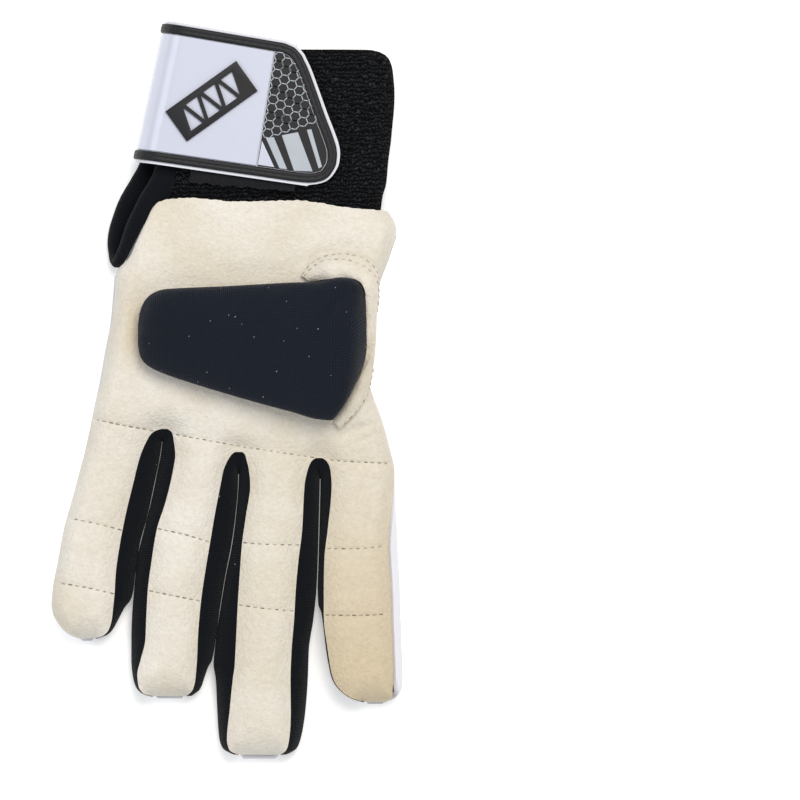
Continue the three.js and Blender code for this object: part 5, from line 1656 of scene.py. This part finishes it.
@dataclass
class ThumbSleeve:
    """Black jersey thumb that lies over the palm and turns down at its root."""

    wall: float = 1.6
    fold_x: float = 37.8
    fold_z: float = 19.4
    fold_near: float = 0.9
    fold_far: float = 13.4
    columns: tuple[str, ...] = ("x", "top", "bottom", "low", "high")
    rows: tuple[tuple[float, ...], ...] = (
        (-31.6, 24.0, 17.0, 23.2, 25.6), (-31.0, 28.2, 13.4, 21.6, 27.2), (-29.4, 32.4, 10.6, 20.4, 28.6),
        (-26.4, 35.4, 8.4, 19.7, 29.8), (-22.1, 36.9, 6.5, 19.4, 30.5), (-14.0, 37.4, 3.7, 19.4, 31.0),
        (-2.0, 37.9, 0.0, 19.4, 31.5), (11.0, 38.6, -3.8, 19.4, 32.1), (24.0, 39.3, -7.3, 19.5, 32.5),
        (33.0, 39.5, -9.8, 19.9, 32.8), (37.8, 40.7, -10.2, 20.3, 32.8)
    )
    fold: tuple[tuple[float, ...], ...] = (
        (20, 41.1, -7.0, 3.4), (38, 41.0, -1.6, 4.2), (56, 40.4, 4.4, 4.2), (74, 38.4, 8.4, 3.6),
        (90, 36.5, 11.0, 2.8)
    )

    wrinkles: tuple[Crease, ...] = (
        Crease(((45, 36), (40, 33), (36, 27), (33, 18)), 1.0, 2.0),
        Crease(((46, 24), (41, 22), (37, 17)), 0.6, 1.8),
        Crease(((44, 12), (40, 12), (35, 9)), 0.5, 2.0),
        Crease(((47, 33), (45, 22), (44, 10)), -0.5, 2.4),
    )

    def rings(self, wall: float) -> Array:
        """Control rings of the thumb drawn in by the wall."""
        loop = ring(96, 2.5)
        c, s = loop[:, 0], loop[:, 1]
        out = []
        for i, (x, top, bottom, low, high) in enumerate(self.rows):
            if wall and i == 1:
                continue
            if wall and i == 0:
                x += wall
            hy = max(0.6, (top - bottom) / 2 - wall)
            hz = max(0.4, (high - low) / 2 - wall)
            ys = (top + bottom) / 2 - hy * c
            out.append(np.stack([np.full(len(loop), x), ys, (low + high) / 2 + hz * s], axis=1))
        for turn, top, bottom, square in self.fold:
            a = math.radians(turn)
            c, s = ring(96, square).T
            hy = (top - bottom) / 2 - wall
            hr = (self.fold_far - self.fold_near) / 2 - wall
            r = (self.fold_far + self.fold_near) / 2 + hr * s
            ys = (top + bottom) / 2 - hy * c
            out.append(np.stack([self.fold_x + r * math.sin(a), ys, self.fold_z + r * math.cos(a)], axis=1))
        return np.array(out)

    def build(self) -> None:
        """Makes the thumb."""
        outer = refine(self.rings(0), 120)
        inner = refine(self.rings(self.wall), 60)
        inner = refine(inner, 120)
        x, y = outer[:, :, 0], outer[:, :, 1]
        above = smooth(22, 27, outer[:, :, 2])
        ease = smooth(-30, -20, x) * (1 - smooth(40, 47, x))
        soft = 0.35 * ripple(x, y, 22, 21) + 0.1 * ripple(x, y, 8, 22)
        folds = 0
        for wrinkle in self.wrinkles:
            near, _ = line_distance(np.array(wrinkle.line), x, y)
            folds = folds - wrinkle.depth * np.exp(-((near / wrinkle.width) ** 2))
        outer[:, :, 2] += above * (soft * ease + folds - 0.25)
        mesh = tube(outer, inner, True, True)
        make_piece("thumb_jersey", mesh, Finish.THUMB, ["thumb_sleeve"])


@dataclass
class ThumbRim:
    """Leather rim round the thumb's root with its two rows of stitches."""

    form: GloveForm
    wall: float = 1.4
    clearance: float = 0.6
    collar_lift: float = 2.2
    outer_column: int = 14
    bend_column: int = 9
    bend_rows: int = 70
    stitch: tuple[float, float, float] = (1.6, 0.38, 0.15)
    columns: tuple[str, ...] = ("ox", "oy", "cx", "cy", "cz", "ix", "iy", "iz")
    rows: tuple[tuple[float, ...], ...] = (
        (27.5, 41.4, 28.9, 41.2, 20.6, 30.4, 40.9, 20.4), (31.4, 46.0, 32.8, 43.9, 22.2, 34.2, 41.9, 22.0),
        (36.0, 48.2, 37.0, 45.4, 23.0, 38.4, 42.9, 22.6), (41.8, 49.2, 41.9, 45.4, 23.4, 42.4, 43.1, 22.9),
        (47.0, 48.8, 46.4, 44.2, 23.4, 46.0, 42.4, 23.1), (51.4, 46.2, 50.2, 42.0, 23.0, 49.2, 40.8, 23.0),
        (53.6, 42.0, 52.4, 39.2, 21.9, 50.9, 38.3, 22.9), (53.6, 36.0, 53.1, 35.2, 20.8, 51.7, 35.0, 22.6),
        (52.8, 28.0, 52.8, 28.0, 20.0, 51.9, 28.0, 22.4), (52.4, 19.5, 52.5, 19.5, 19.8, 51.8, 19.6, 22.2),
        (51.8, 12.0, 51.9, 12.2, 19.4, 51.4, 12.8, 21.6), (50.8, 4.6, 50.7, 5.6, 19.8, 50.0, 6.6, 20.8),
        (48.8, -2.6, 47.9, -1.0, 20.2, 47.2, 0.4, 20.2), (45.0, -7.8, 44.5, -6.3, 19.9, 44.0, -5.0, 19.9),
        (39.8, -12.6, 39.7, -11.9, 19.2, 39.6, -11.2, 19.3)
    )

    def build(self) -> None:
        """Makes the rim."""
        rows = []
        for k, (ox, oy, cx, cy, cz, ix, iy, iz) in enumerate(self.rows):
            reach = 1 + 0.6 * min(1, k / 2, (len(self.rows) - 1 - k) / 2)
            lift = self.collar_lift * smooth(0, 2, k) * (1 - smooth(7, 10, k))
            cz, iz = cz + 0.5 * lift, iz + lift
            limit = float(self.form.right_x(oy)) - 0.05
            under = float(self.form.height(np.array([min(ox, limit)]), np.array([oy]))[0])
            edge = max(13, under + self.clearance)
            rise = min(1, 0.55 + 0.3 * min(k, len(self.rows) - 1 - k))
            cz, iz = mix(edge, cz, rise), mix(edge, iz, rise)
            rows.append(
                [
                    (mix(cx, ix, reach), mix(cy, iy, reach), iz - 0.5),
                    (ix, iy, iz),
                    (mix(ix, cx, 0.5), mix(iy, cy, 0.5), mix(iz, cz, 0.5) + 0.35),
                    (cx, cy, cz),
                    (mix(cx, ox, 0.6), mix(cy, oy, 0.6), mix(cz, edge, 0.5)),
                    (ox, oy, edge),
                ]
            )
        net = refine(np.array(rows), 150)
        fine = refine(net.transpose(1, 0, 2), 18).transpose(1, 0, 2)
        shell = Shell(self.wall, up=False)
        previous = None
        for i, row in enumerate(fine):
            wave = 0.3 * math.sin(i / 6.3) + 0.2 * math.sin(i / 2.6 + 1)
            inner = np.linspace(1, 0, len(row)) ** 2
            row[:, 2] += wave * inner
            previous = shell.follow(previous, row)
        mesh = shell.mesh()
        mesh.tan = 0.12 + 0 * mesh.points[:, 0]
        rim = make_piece("thumb_rim_leather", mesh, Finish.CHAMOIS, ["thumb_rim"])
        soften(rim, 0.4)
        self.sew(fine)

    def sew(self, net: Array) -> None:
        """Makes the stitches on top of the wall: a row along the outer edge, one round the upper bend."""
        length, thread, lift = self.stitch
        runs = ((net, self.outer_column), (net[: self.bend_rows], self.bend_column))
        centres, directions, ups = [], [], []
        for rows, column in runs:
            places, ahead = spaced(rows[:, column], STITCH_PITCH)
            beside, _ = spaced(rows[:, column + 1], STITCH_PITCH)
            count = min(len(places), len(beside))
            up = np.cross(beside[:count] - places[:count], ahead[:count])
            up *= np.sign(up[:, 2:])
            up /= np.linalg.norm(up, axis=1, keepdims=True)
            centres.append(places[:count] + (self.wall + lift) * up)
            directions.append(ahead[:count])
            ups.append(up)
        mesh = stitches(np.vstack(centres), np.vstack(directions), np.vstack(ups), length, thread)
        make_piece("rim_stitches", mesh, Finish.THREAD_RIM)


@dataclass
class VentBinding:
    """Jersey roll round both edges of the slit."""

    columns: tuple[str, ...] = ("x", "y", "z", "wide", "high")
    rows: tuple[tuple[float, ...], ...] = (
        (-21.9, 85.5, 15.4, 2.6, 1.9), (-22.1, 79.6, 15.4, 3.9, 2.0), (-24.1, 73.4, 15.2, 4.6, 2.0),
        (-28.8, 66.9, 15.0, 3.9, 2.0), (-32.6, 61.2, 14.3, 2.9, 2.0), (-35.0, 55.8, 13.2, 2.6, 2.0),
        (-37.2, 50.8, 11.0, 2.2, 2.0), (-39.6, 46.8, 8.0, 1.9, 2.0), (-40.5, 48.6, 5.4, 1.9, 2.3),
        (-40.6, 52.4, 4.0, 2.3, 2.8), (-39.7, 57.6, 3.7, 3.0, 3.1), (-37.8, 63.8, 3.7, 3.6, 3.1),
        (-34.4, 70.3, 3.9, 4.2, 3.1), (-31.4, 75.6, 4.3, 4.3, 3.1), (-28.8, 79.9, 5.0, 4.2, 3.0),
        (-26.8, 85.5, 5.4, 3.9, 3.0)
    )

    def build(self) -> None:
        """Makes the roll."""
        rows = np.array(self.rows)[:, None, :]
        line = refine(rows, 130)[:, 0]
        tangent = np.gradient(line[:, :3], axis=0)
        tangent /= np.linalg.norm(tangent, axis=1, keepdims=True)
        hint = np.array([1.0, 0, 0])
        turn = np.arange(20) / 20 * 2 * math.pi
        rings = []
        for i, (p, t) in enumerate(zip(line, tangent)):
            hint = hint - t * hint.dot(t)
            hint /= np.linalg.norm(hint)
            other = np.cross(t, hint)
            wide, high = p[3:] * (1 + 0.03 * math.sin(i / 3.1))
            rings.append(p[:3] + wide * np.cos(turn)[:, None] * hint + high * np.sin(turn)[:, None] * other)
        mesh = tube(np.array(rings), None, True, False)
        make_piece("vent_binding_jersey", mesh, Finish.JERSEY, ["vent_binding"])


@dataclass
class WristStrap:
    """White strap folded round the wrist, with its border, field, tab and bars."""

    middle: tuple[float, float] = (-27.5, 107.7)
    turn: float = -0.169
    wall: float = 1.4
    top: float = 22.2
    under: float = 40
    fold_reach: float = 8
    upper: float = 26.5
    lower: float = -25.35
    lower_taper: float = 0.026
    fold_slant: float = 0.042
    fold_rows: int = 40
    trim_start: float = -9
    trim_gap: float = 0.3
    border_inset: float = 1.0
    border_width: float = 3.4
    border_height: float = 0.9
    field_height: float = 0.5
    field_end: float = 41.9
    field_lean: float = -0.056
    honeycomb_line: float = 0.3
    tab_end: Table = Table(
        ("across", "along"),
        (
            (26.5, 43.5), (26.1, 45.5), (25.4, 48.0), (24.0, 50.1), (22.85, 51.5), (21.5, 52.5),
            (19.0, 54.4), (11.0, 59.4), (3.0, 64.2), (-5.0, 69.2), (-8.0, 70.8), (-11.0, 71.7),
            (-14.2, 72.0), (-18.0, 71.0), (-19.6, 70.2), (-21.3, 68.6), (-22.6, 66.0), (-23.5, 62.6)
        )
    )
    bars: tuple[tuple[tuple[float, float], ...], ...] = (
        ((44.3, -9.2), (47.1, -8.4), (54.3, -19.1), (51.4, -19.2)),
        ((49.7, -7.3), (55.2, -5.2), (63.4, -18.3), (56.7, -19.2)),
        ((58.1, -3.9), (59.7, -3.3), (66.3, -16.0), (65.2, -16.9))
    )
    corner: tuple[tuple[float, float], ...] = ((43.2, -10.4), (49.6, -19.1), (43.5, -19.2))
    cell_pitch: tuple[float, float] = (2.93, 3.093)
    cell_start: tuple[float, float] = (43.96, 20.37)
    cell_rows: tuple[tuple[int, int], ...] = ((0, 9), (0, 8), (1, 8), (2, 7), (4, 7), (5, 6))
    stitch: tuple[float, float, float] = (3.0, 2.1, 0.62)
    motif: tuple[float, ...] = (22.5, 0.5, 31, 13, 2, 6, 0.62)

    def place(self, along: Value, across: Value, rise: Value) -> Array:
        """Point on the strap, run back from the tab: along under 0 goes round the fold."""
        along, across, rise = np.broadcast_arrays(
            np.asarray(along, float), np.asarray(across, float), np.asarray(rise, float)
        )
        half = self.top / 2
        arc = math.pi / 2 * (self.fold_reach + half)
        back = self.fold_reach - along
        turn = np.clip(back / arc, 0, 1) * math.pi
        flat = back <= 0
        a = np.where(flat, along, self.fold_reach - self.fold_reach * np.sin(turn))
        a = np.where(back > arc, self.fold_reach + back - arc, a)
        z = np.where(flat, self.top, half + half * np.cos(turn))
        na = np.where(flat, 0, -np.sin(turn) * half)
        nz = np.where(flat, 1, np.cos(turn) * self.fold_reach)
        n = np.hypot(na, nz)
        a = a + self.fold_slant * across + rise * na / n
        z = z + rise * nz / n
        c, s = math.cos(self.turn), math.sin(self.turn)
        x = self.middle[0] + a * c - across * s
        y = self.middle[1] + a * s + across * c
        return np.stack([x, y, z], axis=-1)

    def low_edge(self, along: Value) -> Array:
        """Lower edge of the strap."""
        return self.lower + self.lower_taper * np.maximum(0, along)

    def sheet(self, along: Value, across: Value, low: Value, high: Value) -> Mesh:
        """A thin body over a patch of the strap, between two heights above its face."""
        return slab(self.place(along, across, high), self.place(along, across, low))

    def build_strap(self) -> None:
        """Makes the white strap itself."""
        arc = math.pi / 2 * (self.fold_reach + self.top / 2)
        shares = 0.5 - 0.5 * np.cos(np.linspace(0, math.pi, 41))
        fixed = np.concatenate(
            [
                self.fold_reach - arc - self.under * (1 - np.linspace(0, 1, 12)),
                self.fold_reach - arc * (1 - np.linspace(0, 1, self.fold_rows)[1:]),
            ]
        )
        rows_a, rows_b = [], []
        for a in fixed:
            b = mix(self.upper, self.low_edge(a), shares)
            rows_a.append(np.full(len(shares), a))
            rows_b.append(b)
        end_b = mix(self.upper, self.low_edge(55.0), shares)
        end = self.tab_end.at(end_b, "along")
        for t in np.linspace(0, 1, self.fold_rows)[1:]:
            a = mix(self.fold_reach, end, t)
            rows_a.append(a)
            rows_b.append(mix(self.upper, self.low_edge(a), shares))
        along = np.array(rows_a)[:, ::-1]
        across = np.array(rows_b)[:, ::-1]
        mesh = self.sheet(along, across, -self.wall, 0.0)
        piece = make_piece("wrist_strap_vinyl", mesh, Finish.VINYL, ["wrist_strap"])
        soften(piece, 0.35, 3)

    def outline(self, inset: float) -> Array:
        """The strap's visible edge from the fold, round the tab and back, n by 2."""
        line = [(a, float(self.low_edge(a))) for a in (-9, -4.5, 0, 4, 8, 20, 34, 48, 58)]
        line += [(a, b) for b, a in reversed(self.tab_end.rows)]
        line += [(a, self.upper) for a in (40, 30, 19, 8, 4, 0, -4.5, -9)]
        points = np.array(line, float)
        before = np.vstack([points[:1], points[:-1]])
        after = np.vstack([points[1:], points[-1:]])
        t = after - before
        t /= np.linalg.norm(t, axis=1, keepdims=True)
        return points + inset * np.stack([-t[:, 1], t[:, 0]], axis=1)

    def build_border(self) -> None:
        """Makes the black border and its stitches."""
        count = 420
        outer = refine(self.outline(self.border_inset)[:, None], count)[:, 0]
        inner = refine(self.outline(self.border_inset + self.border_width)[:, None], count)[:, 0]
        shares = np.linspace(0, 1, 13)
        net = mix(outer[:, None], inner[:, None], shares[None, :, None])
        crown = 1 - 0.45 * np.abs(2 * shares - 1) ** 5
        groove = 0.16 * np.exp(-(((shares - 0.5) / 0.09) ** 2))
        high = self.trim_gap + self.border_height * (crown - groove)
        low = np.full(high.shape, self.trim_gap)
        mesh = self.sheet(net[..., 0], net[..., 1], low[None], high[None])
        piece = make_piece("strap_border_trim", mesh, Finish.TRIM, ["strap_border"])
        soften(piece, 0.15)
        middle = mix(outer, inner, 0.5)
        pitch, length, thick = self.stitch
        places, ahead = spaced(middle, pitch)
        height = self.trim_gap + self.border_height * 0.8
        centre = self.place(places[:, 0], places[:, 1], height)
        front = self.place(places[:, 0] + 0.1 * ahead[:, 0], places[:, 1] + 0.1 * ahead[:, 1], height)
        run = front - centre
        run /= np.linalg.norm(run, axis=1, keepdims=True)
        up = self.place(places[:, 0], places[:, 1], height + 1) - centre
        thread = stitches(centre, run, up, length, thick)
        make_piece("border_stitches", thread, Finish.THREAD_DARK)

    def build_field(self) -> None:
        """Makes the glossy white field."""
        inset = self.border_inset + self.border_width + self.trim_gap
        share = np.concatenate([np.linspace(0, 0.33, 30), np.linspace(0.34, 1, 24)])
        shares = np.linspace(0, 1, 25)
        low = self.low_edge(mix(self.trim_start, self.field_end, share)) + inset
        across = mix(low[:, None], self.upper - inset, shares[None])
        grid = mix(self.trim_start, self.field_stop(across), share[:, None])
        base, top = self.trim_gap, self.trim_gap + self.field_height
        mesh = self.sheet(grid, across, base, top)
        piece = make_piece("strap_field_gloss", mesh, Finish.GLOSS, ["strap_field"])
        soften(piece, 0.18)

    def field_stop(self, across: Array) -> Array:
        """Where the field ends along the strap."""
        return self.field_end + self.field_lean * across

    def prism(self, outline: Array, low: float, high: float) -> Mesh:
        """A flat patch of the tab between two heights above the strap."""
        n = len(outline)
        top = self.place(outline[:, 0], outline[:, 1], high)
        base = self.place(outline[:, 0], outline[:, 1], low)
        x, y = outline.T
        area = np.sum(x * np.roll(y, -1) - np.roll(x, -1) * y)
        order = np.arange(n) if area > 0 else np.arange(n)[::-1]
        after = np.roll(order, -1)
        walls = [np.array([i + n, j + n, j, i]) for i, j in zip(order, after)]
        return Mesh(np.vstack([top, base]), [order, order[::-1] + n, *walls])

    def build_tab(self) -> None:
        """Makes the tab's ground, bars, corner and honeycomb lines."""
        edge = self.outline(self.border_inset + self.border_width + self.trim_gap)
        fine = refine(edge[:, None], 600)[:, 0]
        around = fine[fine[:, 0] > self.field_stop(fine[:, 1]) + self.trim_gap]
        base, top = self.trim_gap, self.trim_gap + self.field_height
        ground = self.prism(around, base, top)
        piece = make_piece("tab_ground_trim", ground, Finish.TRIM, ["strap_tab_panel"])
        soften(piece, 0.15)
        raised = top + self.border_height - self.field_height
        for i, bar in enumerate(self.bars, 1):
            mesh = self.prism(np.array(bar), top - 0.2, raised)
            grey = make_piece(f"tab_bar_{i}_grey", mesh, Finish.GREY, [f"strap_bar_{i}"])
            soften(grey, 0.2, 3)
        mesh = self.prism(np.array(self.corner), top - 0.2, raised)
        white = make_piece("tab_corner_gloss", mesh, Finish.GLOSS, ["strap_corner"])
        soften(white, 0.2, 3)
        self.build_honeycomb(top)

    def build_honeycomb(self, level: float) -> None:
        """Makes the thin light lines of the honeycomb."""
        edges: dict[tuple[tuple[int, int], ...], tuple[Array, Array]] = {}
        wide, tall = self.cell_pitch
        turn = np.arange(6) / 6 * 2 * math.pi
        for column, (first, last) in enumerate(self.cell_rows):
            for row in range(first, last + 1):
                b = self.cell_start[1] - (row + 0.5 * (column % 2)) * tall
                a = self.cell_start[0] + column * wide + 0.016 * (self.cell_start[1] - b)
                a = a - self.fold_slant * b
                x = a + wide / 1.5 * np.cos(turn)
                ring_points = np.stack([x, b + tall / math.sqrt(3) * np.sin(turn)], axis=1)
                for p, q in zip(ring_points, np.roll(ring_points, -1, axis=0)):
                    key = tuple(sorted(tuple(int(round(v * 2)) for v in e) for e in (p, q)))
                    edges[key] = (p, q)
        mesh: Mesh | None = None
        for p, q in edges.values():
            d = (q - p) / np.linalg.norm(q - p)
            n = np.array([-d[1], d[0]]) * self.honeycomb_line / 2
            p2, q2 = p - d * 0.1, q + d * 0.1
            strip = self.prism(np.array([p2 + n, p2 - n, q2 - n, q2 + n]), level - 0.05, level + 0.16)
            mesh = strip if mesh is None else mesh.joined(strip)
        make_piece("tab_honeycomb_lines", mesh, Finish.GREY)

    def build_motif(self) -> None:
        """Makes the raised band of triangles, as bars round its open cells."""
        along, across, length, height, stroke, cells, turn = self.motif
        w, h = length / 2, height / 2
        pitch = (length - 2 * stroke) / (cells + 1)
        plan = bpy.data.curves.new("motif_plan", "CURVE")
        plan.dimensions = "2D"
        plan.fill_mode = "BOTH"
        plan.extrude = self.border_height / 2 * MM
        plan.bevel_depth = 0.12 * MM
        plan.bevel_resolution = 2
        loops = [[(-w, -h), (w, -h), (w, h), (-w, h)]]
        for i in range(int(cells)):
            middle = -w + stroke + pitch * (i + 1)
            point = -h + stroke if i % 2 else h - stroke
            reach = pitch - 0.6 * stroke
            loops.append([(middle - reach, -point), (middle + reach, -point), (middle, point)])
        for loop in loops:
            spline = plan.splines.new("POLY")
            spline.points.add(len(loop) - 1)
            for target, (x, y) in zip(spline.points, loop):
                target.co = (x * MM, y * MM, 0, 1)
            spline.use_cyclic_u = True
        holder = bpy.data.objects.new("motif_plan", plan)
        bpy.context.scene.collection.objects.link(holder)
        depsgraph = bpy.context.evaluated_depsgraph_get()
        data = bpy.data.meshes.new_from_object(holder.evaluated_get(depsgraph))
        bpy.data.objects.remove(holder)
        centre = self.place(along, across, 0.0)
        points = np.array([v.co[:] for v in data.vertices]) / MM
        c, s = math.cos(turn), math.sin(turn)
        x = points[:, 0] * c - points[:, 1] * s + centre[0]
        y = points[:, 0] * s + points[:, 1] * c + centre[1]
        z = points[:, 2] + self.top + self.trim_gap + self.field_height + self.border_height / 2 + 0.05
        _, first, place = np.unique(np.round(points, 3), axis=0, return_index=True, return_inverse=True)
        place = place.ravel()
        faces = [place[list(p.vertices)] for p in data.polygons]
        faces = [f for f in faces if len(set(f)) == len(f)]
        bpy.data.meshes.remove(data)
        mesh = Mesh(np.stack([x, y, z], axis=1)[first], faces)
        make_piece("strap_motif_trim", mesh, Finish.TRIM, ["strap_motif"], 35)

    def build(self) -> None:
        """Makes the whole strap."""
        self.build_strap()
        self.build_border()
        self.build_field()
        self.build_tab()
        self.build_motif()


@dataclass
class FastenerPatch:
    """Loop patch on the cuff whose edge shows under the strap."""

    size: tuple[float, float, float] = (38, 30, 1.3)
    centre: tuple[float, float, float] = (7, 88.6, 19.75)
    turn: float = -0.0845
    pile: float = 0.15
    fray: float = 0.45

    def build(self) -> None:
        """Makes the patch with an uneven pile."""
        u = np.linspace(-0.5, 0.5, 60)
        v = np.linspace(-0.5, 0.5, 48)
        a, b = np.meshgrid(u * self.size[0], v * self.size[1])
        c, s = math.cos(self.turn), math.sin(self.turn)
        x = self.centre[0] + a * c - b * s
        y = self.centre[1] + a * s + b * c
        rough = self.pile * ripple(x, y, 1.4, 8)
        x = x + self.fray * ripple(x, y, 3, 5)
        y = y + self.fray * ripple(x, y, 2.4, 6)
        top = np.stack([x, y, self.centre[2] + self.size[2] / 2 + rough - 0.1], axis=-1)
        base = np.stack([x, y, np.full(x.shape, self.centre[2] - self.size[2] / 2)], axis=-1)
        mesh = slab(top[::-1], base[::-1])
        piece = make_piece("fastener_patch_pile", mesh, Finish.PILE, ["fastener_patch"])
        soften(piece, 0.3)


@dataclass
class Studio:
    """Floor, lights and the camera straight above."""

    pixel_mm: float = 0.36
    origin_px: tuple[float, float] = (226.5, 392.0)
    image_px: int = 800
    camera_height: float = 3200
    sensor_mm: float = 36
    photo_plane: float = 15
    floor_half_m: float = 3.0
    sky: tuple[float, ...] = (0.93, 0.96, 1.0, 1.0)
    sky_strength: float = 0.46
    lights: tuple[tuple[str, tuple[float, ...], float, float, str], ...] = (
        ("key_softbox", (0.25, 0.6, 1.3), 0.75, 16.2, "fffaf3"),
        ("fill_softbox", (-0.9, 0.1, 0.9), 0.8, 4.0, "f2f6ff"),
        ("front_softbox", (0.3, -1.0, 1.0), 0.9, 3.4, "fffdf8"),
    )

    def build(self) -> None:
        """Makes the floor, the lights and the camera."""
        scene = bpy.context.scene
        scene.view_settings.view_transform = "Standard"
        scene.view_settings.look = "None"
        data = bpy.data.meshes.new("floor")
        r = self.floor_half_m
        data.from_pydata([(-r, -r, 0), (r, -r, 0), (r, r, 0), (-r, r, 0)], [], [(0, 1, 2, 3)])
        data.materials.append(finish_of(Finish.PAPER))
        floor = bpy.data.objects.new("floor", data)
        floor.location.z = -0.0002
        scene.collection.objects.link(floor)
        world = bpy.data.worlds.new("studio_air")
        world.use_nodes = True
        sky = world.node_tree.nodes["Background"]
        sky.inputs["Color"].default_value = self.sky
        sky.inputs["Strength"].default_value = self.sky_strength
        scene.world = world
        for light in self.lights:
            self.light(*light)
        camera = bpy.data.cameras.new("camera")
        camera.sensor_width = self.sensor_mm
        width = self.image_px * self.pixel_mm
        camera.lens = self.sensor_mm * self.camera_height / width
        camera.clip_start, camera.clip_end = 0.05, 20
        eye = bpy.data.objects.new("camera", camera)
        x = (self.image_px / 2 - self.origin_px[0]) * self.pixel_mm + ORIGIN_SHIFT[0]
        y = (self.origin_px[1] - self.image_px / 2) * self.pixel_mm + ORIGIN_SHIFT[1]
        eye.location = (x * MM, y * MM, (self.camera_height + self.photo_plane) * MM)
        scene.collection.objects.link(eye)
        scene.camera = eye

    @staticmethod
    def light(name: str, place: tuple[float, ...], size: float, power: float, colour: str) -> None:
        """Adds one soft light.

        Args:
            name: The light's name.
            place: Where it stands, in metres.
            size: Side of its square face, in metres.
            power: Its power in watts.
            colour: Its colour.
        """
        data = bpy.data.lights.new(name, "AREA")
        data.shape = "SQUARE"
        data.size = size
        data.energy = power
        data.color = linear(colour)[:3]
        lamp = bpy.data.objects.new(name, data)
        lamp.location = place
        aim = Vector((0, 0, 0.01)) - Vector(place)
        lamp.rotation_mode = "QUATERNION"
        lamp.rotation_quaternion = aim.to_track_quat("-Z", "Y")
        bpy.context.scene.collection.objects.link(lamp)


def main() -> None:
    """Builds the glove piece by piece, then the studio."""
    logging.basicConfig(level=logging.INFO, format="%(name)s %(message)s")
    form = GloveForm()
    gussets = Gussets(form)
    LeatherPalm(form).build()
    gussets.build()
    BackPanel(form, gussets).build()
    KnitCuff().build()
    ThumbSleeve().build()
    ThumbRim(form).build()
    VentBinding().build()
    FastenerPatch().build()
    WristStrap().build()
    Studio().build()


if __name__ == "__main__":
    main()
